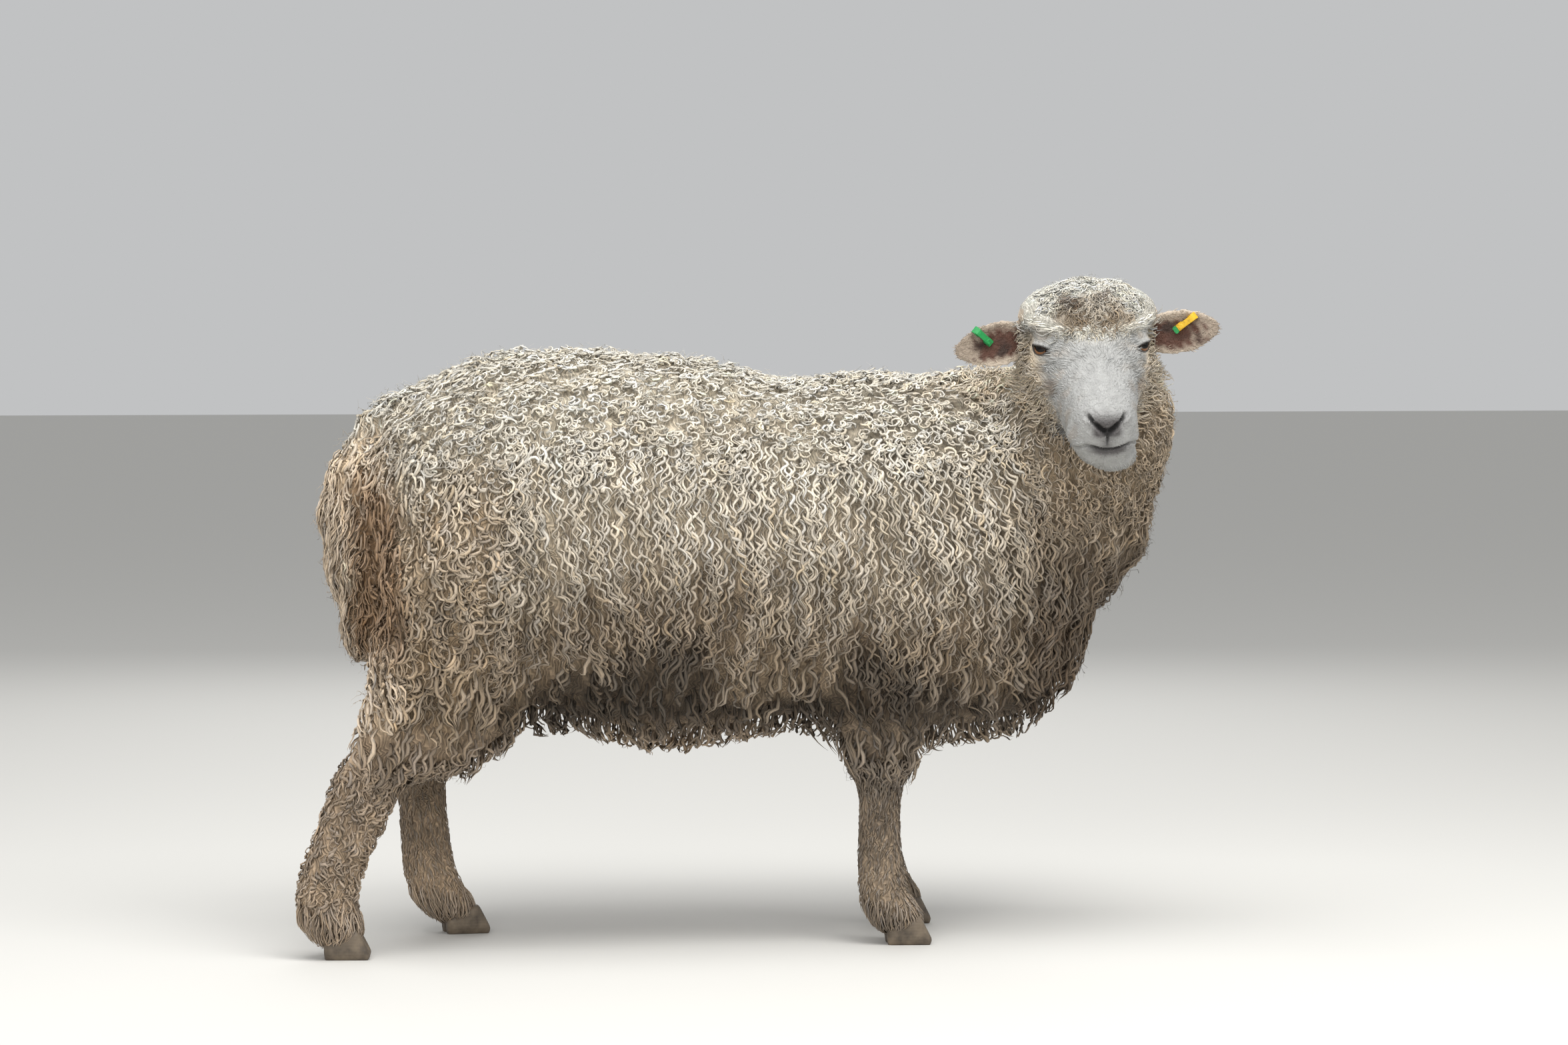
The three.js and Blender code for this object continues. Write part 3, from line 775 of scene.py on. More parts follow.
def markings(points):
    """The colour of wool or hair at points of the body."""
    x, _, z = (points - MIDDLE).T
    cloud = field(points, 0.22, 11)
    fleck = field(points, 0.06, 12)
    height = z + 0.018 * cloud + 0.010 * fleck
    shaken = points - MIDDLE + 0.012 * cloud[:, None]
    low_thigh = smoothstep(-0.34, -0.50, x + 0.02 * cloud) * smoothstep(0.76, 0.58, height)
    under_tail = smoothstep(-0.622, -0.602, x) * smoothstep(-0.552, -0.574, x)
    under_tail *= smoothstep(0.69, 0.63, height)
    front = smoothstep(0.25, 0.36, x + 0.02 * fleck)
    by_head = smoothstep(0.32, 0.16, span(points - HEAD_AT))
    # painted shade: darker partings between tall clumps on the neck, chest and lower flanks
    parting_shade = smoothstep(0.1, 1.3, field((points - MIDDLE) * (1, 1, 0.30), 0.028, 15))
    shares = [
        ("low", smoothstep(0.335, 0.40, height)),
        ("flank", smoothstep(0.43, 0.60, height)),
        ("back", smoothstep(0.58, 0.78, height)),
        # belly patches: dirt, and painted shade in the hollows by the legs
        *(("belly", 0.85 * spot(shaken, *place)) for place in BELLY_PATCHES),
        ("thigh", 0.75 * low_thigh * (0.8 + 0.3 * fleck)),
        ("tail", 0.9 * smoothstep(-0.556, -0.580, x) * smoothstep(0.77, 0.66, height)),
        ("stain", 0.85 * under_tail * smoothstep(0.40, 0.46, z)),
        ("neck", 0.85 * front * smoothstep(0.50, 0.60, height)),
        # painted shade under the chin, with dirt: the chest darkens downwards below the neck
        ("chest", 0.75 * front * smoothstep(0.66, 0.52, height) * smoothstep(0.30, 0.36, z)),
        # painted light and shade: the wool by the head is lightened above about 0.76 m and left darker
        # below, where the chin shades it
        ("ruff", 0.9 * by_head * smoothstep(0.735, 0.79, z + 0.01 * fleck)),
        # painted shade in the partings between clumps
        ("chest", 0.45 * parting_shade * smoothstep(0.72, 0.50, height - 0.25 * front)),
    ]
    tone = WOOL["belly"]
    for name, share in shares:
        tone = mix(tone, WOOL[name], share)
    leg = smoothstep(0.335, 0.295, z)
    shank = np.where(x[:, None] > 0, WOOL["foreleg"], WOOL["hindleg"])
    shank = shank * (0.96 + 0.14 * fleck + 0.10 * cloud + 0.26 * smoothstep(0.17, 0.06, z))[:, None]
    tone = mix(tone, shank, leg)
    local = in_head(points)
    ahead, left, above = local.T
    side = np.abs(left)
    near = span(local) < HEAD_REACH
    is_head = np.zeros(len(points))
    near_parts = parts_at(points[near])
    fade = 0.45 + 0.55 * smoothstep(-0.075, -0.035, ahead[near] + 0.9 * np.maximum(above[near], 0))
    is_head[near] = np.where(near_parts == "topknot", 0.5 + 0.5 * fade, (near_parts == "head") * fade)
    knot = mix(WOOL["knot"], WOOL["knot"] * 0.9, 0.5 + 0.5 * fleck)
    tone = mix(tone, knot, is_head)
    on_face = smoothstep(-0.035, 0.0, ahead + 0.2 * side - 0.25 * np.clip(above, 0, 1))
    on_brow = smoothstep(0.022, 0.042, above)
    tone = mix(tone, WOOL["face"], is_head * on_face * (1 - on_brow))
    grubby = smoothstep(0.1, 1.0, field(points, 0.035, 14)) * smoothstep(0.02, 0.06, side)
    tone = mix(tone, WOOL["dirt"], 0.25 * grubby * is_head * on_face)
    # the cheeks and jaw take the ruff's light cream: their own light wool, lightened further as painted
    # light against the shade under the head
    jowl = smoothstep(0.03, -0.02, ahead + 0.9 * above) * smoothstep(0.03, -0.01, above)
    tone = mix(tone, WOOL["ruff"], 0.75 * jowl * is_head * smoothstep(0.035, 0.055, side))
    return tone * (1 + 0.05 * field(points, 0.018, 13))[:, None]


print("colour on the back:", markings(MIDDLE + np.array([[0, 0, 0.85]])).round(3))


# %% Stains of the head
def dirtied(tone, points):
    """The stains and clods of the head."""
    local = in_head(points)
    ragged = 0.25 * field(points, 0.02, 21)
    for centre, reach, colour, share in STAINS:
        share = share * np.clip(spot(local, centre, reach) * (1 + ragged), 0, 1)
        tone = mix(tone, WOOL[colour], share)
    return tone


STAINS = [
    ((0.006, -0.030, 0.054), (0.040, 0.034, 0.018), "dirt", 0.75),
    ((0.006, 0.030, 0.052), (0.040, 0.034, 0.018), "dirt", 0.70),
    ((0.004, 0.004, 0.064), (0.050, 0.046, 0.028), "dirt", 0.58),
    ((-0.006, -0.032, 0.076), (0.030, 0.020, 0.008), "mud", 0.9),
    ((-0.010, 0.014, 0.084), (0.026, 0.011, 0.010), "mud", 0.6),
    ((0.052, -0.056, -0.028), (0.020, 0.010, 0.012), "mud", 0.50),
    ((0.045, 0.058, -0.030), (0.030, 0.010, 0.020), "dirt", 0.40),
    ((0.000, 0.068, -0.090), (0.040, 0.024, 0.016), "mud", 0.6),
]
print(len(STAINS), "stains")

# %% Marks of the face, carried over to the joined skin
features = tree_of(face_points)
skin_marks = {name: np.zeros(len(skin_points)) for name in marks}
for index in np.flatnonzero(span(in_head(skin_points)) < 0.26):
    _, near, away = features.find(skin_points[index])
    if away < 0.003:
        for name, values in marks.items():
            skin_marks[name][index] = values[near]

skin_local = in_head(skin_points)
print("marks on", len(skin_points), "points")

# %% The ears' own places: how far out, and how far from the middle line to the rim
LEVEL = np.array(Matrix.Rotation(math.radians(30), 3, "Y") @ Matrix.Rotation(math.radians(2.2), 3, "X"))
EAR_OUT = [0.0, 0.016, 0.042, 0.068, 0.090, 0.108]
EAR_HALF = [0.020, 0.026, 0.032, 0.031, 0.023, 0.010]


def on_ear(local, facing):
    """Which points are on an ear, their share of the way to the rim, and how deep in the cup."""
    level = local @ LEVEL.T
    out = np.abs(local[:, 1]) - 0.078
    left = local[:, 1] > 0
    root = np.where(left, 0.0175, 0.0155)
    slope = np.where(left, math.tan(math.radians(5)), math.tan(math.radians(-9.5)))
    across = (level[:, 2] - root - out * slope) / np.interp(out, EAR_OUT, EAR_HALF)
    mine = (out > 0.004) & (out < 0.125) & (np.abs(level[:, 0] + 0.056) < 0.045) & (np.abs(across) < 1.6)
    ragged = 0.10 * field(local, 0.014, 61)
    deep = smoothstep(0.78, 0.42, np.abs(across + 0.05) + ragged)
    deep = deep * smoothstep(0.092, 0.066, out + 0.1 * ragged)
    deep = deep * smoothstep(0.1, 0.4, facing[:, 0]) * mine
    return mine, across * mine, deep


print("ears reach", EAR_OUT[-1], "m out")


# %% Where the head is woolly
def wool_on_head(local):
    """1 where the head is woolly: over the brow, and behind a line from the eye to the mouth."""
    x, y, z = local.T
    side = np.abs(y)
    brow = smoothstep(-0.006, 0.006, z + 0.15 * x - 0.040 + 0.20 * side)
    line = 0.006 - 1.50 * np.minimum(z + 0.012, 0) - 0.006 * field(local, 0.02, 63)
    cheek = smoothstep(0.006, -0.006, x - np.minimum(line, 0.098)) * smoothstep(0.030, 0.044, side)
    throat = smoothstep(-0.086, -0.096, z) * smoothstep(0.115, 0.085, x)
    back = smoothstep(-0.02, -0.04, x)
    return np.maximum.reduce([brow, cheek, throat, back]) * smoothstep(0.020, 0.030, from_eye(local))


print("wool between the ears:", wool_on_head(np.array([[-0.03, 0.0, 0.06]])))

# %% The skin's colours
# the first colour is for dark hair round the nose and lips and for painted shade under the upper lip; the
# second for the bare nose pad and for painted shade in the nostrils and the mouth's slit; the third for lid
# rims, lashes and tear lines
DARK_HAIR_AND_SHADE, DARK, RIM = linear(74, 70, 70), linear(20, 18, 18), linear(34, 27, 24)
EAR, EDGE, CUP, PIT = (
    linear(*shade) for shade in ((150, 136, 121), (190, 176, 159), (82, 52, 40), (54, 37, 30))
)
UNDERCOAT = (1.06, 1.0, 0.91)  # the wool near the skin is yellower
skin_tone = dirtied(markings(skin_points), skin_points)
is_face = span(skin_local) < HEAD_REACH
is_face[is_face] = np.isin(parts_at(skin_points[is_face]), ["head", "topknot"])
# painted light: the skin is lightened against the shade of the hair and wool over it, by up to 18% under the
# topknot and by 6% under the body's locks
knot_light_share = is_face * smoothstep(0.045, 0.060, skin_local[:, 2])
skin_tone = skin_tone * np.where(is_face, 1.0 + 0.18 * knot_light_share, 1.06)[:, None]
skin_tone = skin_tone * np.where(is_face[:, None], 1.0, UNDERCOAT)
ear, across, deep = on_ear(skin_local, skin_normals @ HEAD_AXES)
ear_tone = mix(mix(EAR, EDGE, smoothstep(0.7, 0.95, np.abs(across))), CUP, deep)
ear_tone = mix(ear_tone, PIT, deep * smoothstep(0.0, 0.9, field(skin_points, 0.02, 62)))
skin_tone = np.where(ear[:, None], ear_tone, skin_tone)
skin_tone = mix(skin_tone, DARK_HAIR_AND_SHADE, skin_marks["dark_hair_and_shade"])
skin_tone = mix(skin_tone, RIM, 0.9 * skin_marks["rim"])
skin_tone = mix(skin_tone, DARK, skin_marks["dark"])
set_attribute(skin.data, "tone", skin_tone)
wool_line = wool_on_head(skin_local)
curly = np.where(is_face | ear, 0.0, smoothstep(0.34, 0.44, span(skin_local)))
fluffy = np.where(ear, 0.0, np.where(is_face, wool_line, 1.0)) * (1 - curly)
set_attribute(skin.data, "woolly", curly)
set_attribute(skin.data, "fluffy", fluffy)
print("colours on", len(skin_tone), "points")

# %% [markdown]
# ## What shows between the locks
# Between real locks one sees more wool, not bare skin. So the skin's material has fine
# upright waves like those of the locks in front of it, drawn by a sine whose phase is
# itself pushed about by a slower sine and by noise. Their colour is painted shade: dark
# between the waves, lighter on their crests, and darker overall under the wool.

# %% Skin material
skin_finish, shader, start = finish("wool_skin", 0.75)
tone = kept(start, "tone", 0)
place = place_in(start)
sway = (place.axis(2) * 280 + place.noise(22.0, 1.0) * 26).sine()
curls = (place.axis(0) * 1050 + sway * 3.0 + place.noise(16.0, 2.0) * 34).sine()
tufts = place.noise(170.0, 4.0).smooth(0.35, 0.65)
woolly = kept(start, "woolly")
fluffy = kept(start, "fluffy")
fibres = (place.noise(300.0, 3.0) * 40).sine()
# painted shade: the skin is darkened between the curls and tufts, and less on their crests
curly_shade = woolly * (0.24 - 0.20 * curls - 0.14 * tufts)
fluffy_shade = fluffy * (0.24 - 0.08 * fibres - 0.10 * curls - 0.26 * tufts)
height = tufts * 0.5 + curls * 0.5 * (woolly + 0.5 * fluffy) + fibres * 0.35 * fluffy
height = height + 0.25 * place.noise(1300.0, 2.0)
paint(shader, start, tone.tinted(1 - curly_shade - fluffy_shade), height, 1.0, 0.0030)
skin.data.materials.append(skin_finish)

# %% [markdown]
# ## Eyes
# A sheep's eye is a ball with a clearer, steeper dome in front. The iris is amber, with
# painted shade of the upper lid darkening its top, and the pupil a wide level slot. Two
# flat coordinates kept on the ball's points tell the material how far across and how far
# up the dome each point is.

# %% Eyeballs
eye_finish, shader, start = finish(
    "eye", 0.15, Specular_IOR_Level=0.15, Coat_Weight=0.22, Coat_Roughness=0.03,
)
across = kept(start, "across")
upward = kept(start, "upward")
radius = start.math("SQRT", across * across + upward * upward)
raised = upward - 0.0030
pupil = start.math("SQRT", across * across * 0.16 + raised * raised)
streak = place_in(start).noise(900.0, 2.0)
# painted shade: the iris goes dark towards the top, where the upper lid shades it
lit = (0.0035 - upward).smooth(-0.004, 0.006) * (0.55 + 0.7 * streak)
amber = lit.ramp((0.0, linear(20, 13, 9)), (1.0, linear(146, 102, 70)))
ball = amber.blend(amber.tinted(amber), radius.smooth(0.0080, 0.0098))
slot = radius.smooth(0.009, 0.012).ramp((0.0, linear(8, 6, 5)), (1.0, linear(34, 22, 16)))
hidden = start.math("MAXIMUM", pupil.smooth(0.0036, 0.0028), radius.smooth(0.0088, 0.0096))
paint(shader, start, ball.blend(slot, hidden))


def eyeball(name, mirror):
    """A ball with a domed front, turned to look out of the head and a little forward."""
    out = np.array([math.cos(math.radians(41)), mirror * math.sin(math.radians(41)), -0.02])
    out /= np.linalg.norm(out)
    level = np.cross(np.array([0, 0, 1.0]), out)
    level /= np.linalg.norm(level)
    axes = np.stack([level, np.cross(out, level), out], 1)
    form = bmesh.new()
    bmesh.ops.create_uvsphere(form, u_segments=40, v_segments=28, radius=EYE_RADIUS)
    mesh = mesh_from(form, name)
    points = points_of(mesh)
    flat = points[:, :2].copy()
    dome = smoothstep(0.0095, 0.0, span(flat)) * (points[:, 2] > 0)
    points[:, 2] += 0.0010 * dome
    set_points(mesh, from_head(points @ axes.T + EYE_AT * (1, mirror, 1)))
    set_attribute(mesh, "across", flat[:, 0])
    set_attribute(mesh, "upward", np.where(points[:, 2] > 0, flat[:, 1], 0.02))
    mesh.materials.append(eye_finish)
    mesh.shade_smooth()
    piece = add_piece(name + "_ball", mesh)
    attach(piece, "root")
    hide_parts(name)


eyeball("eye_left", 1)
eyeball("eye_right", -1)
print("eyes at", from_head(EYE_AT[None])[0].round(4))

# %% [markdown]
# ## Hooves
# Each foot stands on two claws of dull horn. The faceted claws are rounded by voxels
# and averaging, kept flat where they stand, and ringed by faint growth lines.

# %% Claws
horn_finish, shader, start = finish("horn", 0.55)
place = place_in(start)
rings = (place.axis(2) * 1500 + 3.0 * place.noise(40.0)).sine()
mottle = place.noise(45.0, 5.0)
horn = mottle.ramp((0.3, linear(60, 52, 44)), (0.7, linear(122, 108, 90)))
paint(shader, start, horn, rings * 0.3 + mottle * 0.5, 0.25, 0.0006)
SOLE_HEIGHT = 0.003  # what stands lower than this keeps its height
CLAWS = [
    f"hoof_{row}_{side}_{place}"
    for row in ("fore", "hind") for side in ("left", "right") for place in ("inner", "outer")
]
for claw in CLAWS:
    piece = cad_copy(claw + "_horn", [claw], 0.0)
    remesh(piece, CLAW_VOXEL)
    claw_edges = edges_of(piece.data)
    claw_points = points_of(piece.data)
    rounded = softened(claw_points, claw_edges, 1.0, 34)
    sole = claw_points[:, 2] < SOLE_HEIGHT
    rounded[sole, 2] = claw_points[sole, 2]
    set_points(piece.data, rounded)
    piece.data.shade_smooth()
    piece.data.materials.append(horn_finish)
    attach(piece, "root")
    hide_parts(claw)
print(len(CLAWS), "claws")

# %% [markdown]
# ## Ear tags
# The tags are loops of tough plastic, snapped through the ear. Their solids are already
# true to shape, so a narrow bevel on a merged copy is enough to catch the light. The studs
# that hold them are short cylinders. The tag's own longest and shortest directions, found
# by a singular value decomposition of its points, say where they sit and how they turn.

# %% Tag plastic
def plastic(name, colour):
    """A dull plastic of this colour with grime in it."""
    material, shader, start = finish(name, 0.42)
    speckle = place_in(start).noise(260.0, 4.0)
    plain, grime = start.out("ShaderNodeRGB"), start.out("ShaderNodeRGB")
    plain.socket.default_value = (*linear(*colour), 1)
    grime.socket.default_value = (*linear(*[0.5 * value for value in colour]), 1)
    paint(shader, start, plain.blend(grime, speckle.smooth(0.5, 0.75) * 0.6))
    return material


TAG_PLASTIC = {"green": plastic("tag_green", (28, 138, 70)), "yellow": plastic("tag_yellow", (212, 168, 30))}
TAGS = {"tag_left": "yellow", "tag_left_clip": "green", "tag_right": "green"}
print(len(TAG_PLASTIC), "plastics")

# %% Tags and their studs
STUD_PLACES = (-0.36, 0.36)  # along the tag, as shares of its length
STUD_RADIUS = 0.36  # share of the tag's width
STUD_PROUD = 0.0012
for tag, colour in TAGS.items():
    piece = cad_copy(tag + "_loop", [tag], 0.0)
    bevel = piece.modifiers.new("rounded", "BEVEL")
    bevel.width = 0.0005
    bevel.segments = 2
    bevel.angle_limit = math.radians(40)
    piece.data.materials.append(TAG_PLASTIC[colour])
    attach(piece, "root")
    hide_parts(tag)
    strip = points_of(piece.data)
    middle = (strip.max(0) + strip.min(0)) / 2
    axes = np.linalg.svd(strip - middle)[2]
    length, width, thickness = np.ptp((strip - middle) @ axes.T, axis=0)
    turn = Matrix(axes.T.tolist()).to_4x4()
    if turn.determinant() < 0:
        turn = turn @ Matrix.Diagonal((1, -1, 1, 1))
    for number, share in enumerate(STUD_PLACES, 1):
        stud = bmesh.new()
        bmesh.ops.create_cone(
            stud, cap_ends=True, segments=16, radius1=width * STUD_RADIUS, radius2=width * STUD_RADIUS,
            depth=thickness + STUD_PROUD,
            matrix=Matrix.Translation(Vector(middle + axes[0] * length * share)) @ turn,
        )
        bmesh.ops.recalc_face_normals(stud, faces=stud.faces)
        mesh = mesh_from(stud, f"{tag}_stud_{number}")
        mesh.materials.append(TAG_PLASTIC[colour])
        piece = add_piece(mesh.name, mesh)
        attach(piece, "root")
print(len(TAGS), "tags,", len(TAGS) * len(STUD_PLACES), "studs")

# %% [markdown]
# ## Locks
# A lock of wool is a bundle of fibres that holds together from the skin to its tip.
# Here each one is a tube with three sides, so that it is closed and cheap. Its middle
# line is walked over the outline of the fleece a step at a time, in the direction that
# the wool lies, and then bent into waves or rings. Thousands of tubes are joined into
# one mesh, because so many separate objects would be slow and could not be exported.

# %% Joined tubes from arrays
SECTION = np.array([(-0.5, -0.14), (0.5, -0.14), (0.0, 0.26)])
PATCH = 0.003  # a lock's share of the unwrap
MOST_TRIANGLES = 190000


def tube_mesh(name, paths, outward, widths, tones, bake):
    """One mesh of three-sided tubes: paths is tubes x rings x 3."""
    count, rings, _ = paths.shape
    along = unit(np.gradient(paths, axis=1))
    side = unit(np.cross(outward, along))
    ridge = np.cross(along, side)
    section = SECTION[:, 0, None] * side[:, :, None] + SECTION[:, 1, None] * ridge[:, :, None]
    corners = paths[:, :, None] + widths[:, :, None, None] * section
    ring = np.arange(rings - 1)[:, None] * 3
    turn = np.arange(3)[None]
    after = (turn + 1) % 3
    quads = np.stack([ring + turn, ring + after, ring + 3 + after, ring + 3 + turn], -1).reshape(-1, 4)
    last = 3 * (rings - 1)
    caps = np.array([(2, 1, 0), (last, last + 1, last + 2)])
    first = (np.arange(count) * rings * 3)[:, None, None]
    loops = np.concatenate([(first + quads).ravel(), (first + caps).ravel()])
    sizes = np.concatenate([np.full(count * len(quads), 4), np.full(count * 2, 3)])
    mesh = bpy.data.meshes.new(name)
    mesh.vertices.add(count * rings * 3)
    mesh.vertices.foreach_set("co", corners.astype(np.float32).ravel())
    mesh.loops.add(len(loops))
    mesh.loops.foreach_set("vertex_index", loops.astype(np.int32))
    mesh.polygons.add(len(sizes))
    mesh.polygons.foreach_set("loop_start", np.concatenate([[0], np.cumsum(sizes)[:-1]]).astype(np.int32))
    mesh.polygons.foreach_set("use_smooth", np.ones(len(sizes), bool))
    reach = np.linspace(0, 1, rings)
    strand = np.stack(np.broadcast_arrays([[[0.0, 1.0, 0.5]]], reach[None, :, None]), -1)
    strand = np.broadcast_to(strand, (count, rings, 3, 2))
    patch = bake[:, None, None] + (strand - 0.5) * PATCH
    for layer, values in (("OFBake", patch), ("strand", strand)):
        values = values.reshape(-1, 2)[loops]
        mesh.uv_layers.new(name=layer).data.foreach_set("uv", values.astype(np.float32).ravel())
    mesh.update(calc_edges=True)
    colours = np.broadcast_to(tones[:, :, None], (count, rings, 3, 3)).reshape(-1, 3)
    set_attribute(mesh, "tone", colours)
    return mesh


coat = {}  # triangles of each kind of lock


def coat_pieces(name, paths, outward, widths, tones, roots, material):
    """Splits a coat into pieces from tail to nose, small enough to be exported whole."""
    each = 6 * (paths.shape[1] - 1) + 2
    shares = int(math.ceil(len(paths) * each / MOST_TRIANGLES))
    order = np.argsort(roots[:, 0], kind="stable")
    bake = np.array([place_of_triangle[skin_tree.find_nearest(Vector(root))[2]] for root in roots])
    for number, chosen in enumerate(np.array_split(order, shares), 1):
        title = f"{name}_{number}" if shares > 1 else name
        mesh = tube_mesh(title, paths[chosen], outward[chosen], widths[chosen], tones[chosen], bake[chosen])
        mesh.materials.append(material)
        piece = add_piece(title, mesh)
        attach(piece, "root")
    print(f"{name}: {len(paths)} locks, {len(paths) * each} triangles in {shares}")
    coat[name] = len(paths) * each


# %% Wool material
wool_finish, shader, start = finish(
    "wool", 0.85, Specular_IOR_Level=0.15, Sheen_Weight=0.12, Sheen_Roughness=0.6,
)
tone = kept(start, "tone", 0)
strand_map = start.out("ShaderNodeUVMap", {"uv_map": "strand"})
drawn_out = start.out("ShaderNodeMapping", None, {"Vector": strand_map, "Scale": (16.0, 2.0, 1.0)})
fibres = drawn_out.noise(1.0, 4.0)
paint(shader, start, tone.tinted(0.78 + 0.50 * fibres.smooth(0.32, 0.68)), fibres, 0.9, 0.0020)

# %% [markdown]
# ## Where locks grow
# Roots are strewn over the outline by area, and then only one is kept in each cell of a
# tilted grid, which spaces them evenly without lining them up.

# %% Strewing roots
GRID_TILT = np.array(
    Matrix.Rotation(0.6, 3, "X") @ Matrix.Rotation(0.5, 3, "Y") @ Matrix.Rotation(0.4, 3, "Z")
)
ROOTS = 200000  # to choose from
dice = np.random.RandomState(7)


def strewn(points, normals, triangles, number, favour=1.0):
    """Random points on a surface, with its normals there, thicker where favour is higher."""
    a, b, c = (points[triangles[:, k]] for k in range(3))
    area = span(np.cross(b - a, c - a)) * favour
    pick = dice.choice(len(triangles), number, p=area / area.sum())
    u, v = dice.rand(2, number)
    flip = u + v > 1
    u, v = np.where(flip, 1 - u, u), np.where(flip, 1 - v, v)
    weight = np.stack([1 - u - v, u, v], 1)[:, :, None]
    corners = triangles[pick]
    return (points[corners] * weight).sum(1), unit((normals[corners] * weight).sum(1))


def evenly(points, gap):
    """Which points to keep, so that they are about this gap apart."""
    cells = np.floor(points @ GRID_TILT / (1.22 * gap)).astype(np.int64)
    return np.unique(cells, axis=0, return_index=True)[1]


form_triangles = np.array([
    triple for face in form_faces for triple in ((face[0], face[1], face[2]), (face[0], face[2], face[-1]))
])
far_from_head = span(form_points[form_triangles[:, 0]] - HEAD_AT)
favour = 1 + 3 * smoothstep(0.36, 0.26, far_from_head)
root_points, root_normals = strewn(form_points, form_normals, form_triangles, ROOTS, favour)
ragged_points = root_points + dice.normal(0, 0.006, root_points.shape)
root_parts = parts_at(ragged_points)
root_body = root_points - MIDDLE
root_local = in_head(root_points)
print("roots to choose from:", len(root_points))

# %% [markdown]
# ## The lie of the wool
# Wool hangs. On the flanks it runs straight down, on the back it parts along the spine,
# on the rump it falls to the rear, and round the head it spreads away from the face.

# %% Directions over the body
def lie(points, normals, kind):
    """The direction in which wool of a kind runs at points of the fleece."""
    x, y, _ = (points - MIDDLE).T
    way = np.zeros_like(points)
    way[:, 2] = -1
    way[:, 1] = 0.9 * np.clip(y / 0.10, -1, 1)
    way[:, 0] = -0.05 - 0.35 * smoothstep(-0.30, -0.45, x) + 0.45 * smoothstep(0.06, 0.36, x)
    if kind == "tail":
        way = np.tile((-0.1, 0.0, -1.0), (len(points), 1))
    if kind == "neck":
        local = in_head(points)
        away = local * (0, 1, 1) @ HEAD_AXES.T
        away = unit(away) * smoothstep(0.26, 0.12, span(local))[:, None]
        way = way + 1.2 * away
    if kind == "knot":
        local = in_head(points)
        from_crown = local - (-0.05, 0, 0)
        way = unit(from_crown * (0.8, 1, 0.2)) @ HEAD_AXES.T + (0, 0, -0.25)
    if kind == "cheek":
        local = in_head(points)
        away = np.sign(local[:, 1])
        way = np.stack([np.full(len(local), -0.7), away * 0.9, np.full(len(local), -0.8)], 1)
        way = way @ HEAD_AXES.T
    way = way - (way * normals).sum(1)[:, None] * normals
    return unit(way)


def turned(way, normals, angle):
    """A direction turned about the normal."""
    return way * np.cos(angle)[:, None] + np.cross(normals, way) * np.sin(angle)[:, None]


def walk(roots, normals, lengths, rings, kind, turn, hang):
    """Middle lines over the fleece: points and normals, tubes x rings x 3."""
    step = (lengths / (rings - 1))[:, None]
    places, outs = [roots], [normals]
    here, out = roots, normals
    for _ in range(rings - 1):
        way = turned(lie(here, out, kind), out, turn)
        way = unit(way * (1 - hang)[:, None] + np.array((0, 0, -1)) * hang[:, None])
        ahead = here + way * step
        found = [form_tree.find_nearest(Vector(point)) for point in ahead]
        on_form = np.array([hit[0][:] for hit in found])
        here = on_form + (ahead - on_form) * hang[:, None]
        out = form_out[[hit[2] for hit in found]]
        places.append(here)
        outs.append(out)
    return np.stack(places, 1), np.stack(outs, 1)


# %% [markdown]
# ## Waves, staples and tips
# Wool grows in staples: neighbours lean together and wave in step. Here each lock is
# pulled towards the lock at the middle of its staple and takes over its phase. Swing is
# how far it waves to the sides, loop how far along itself, which turns a wave into a
# ring, and bulge how far off the body. The root is sunk in the skin and the tip thins,
# and the part near the root is painted darker, as painted shade among the locks.

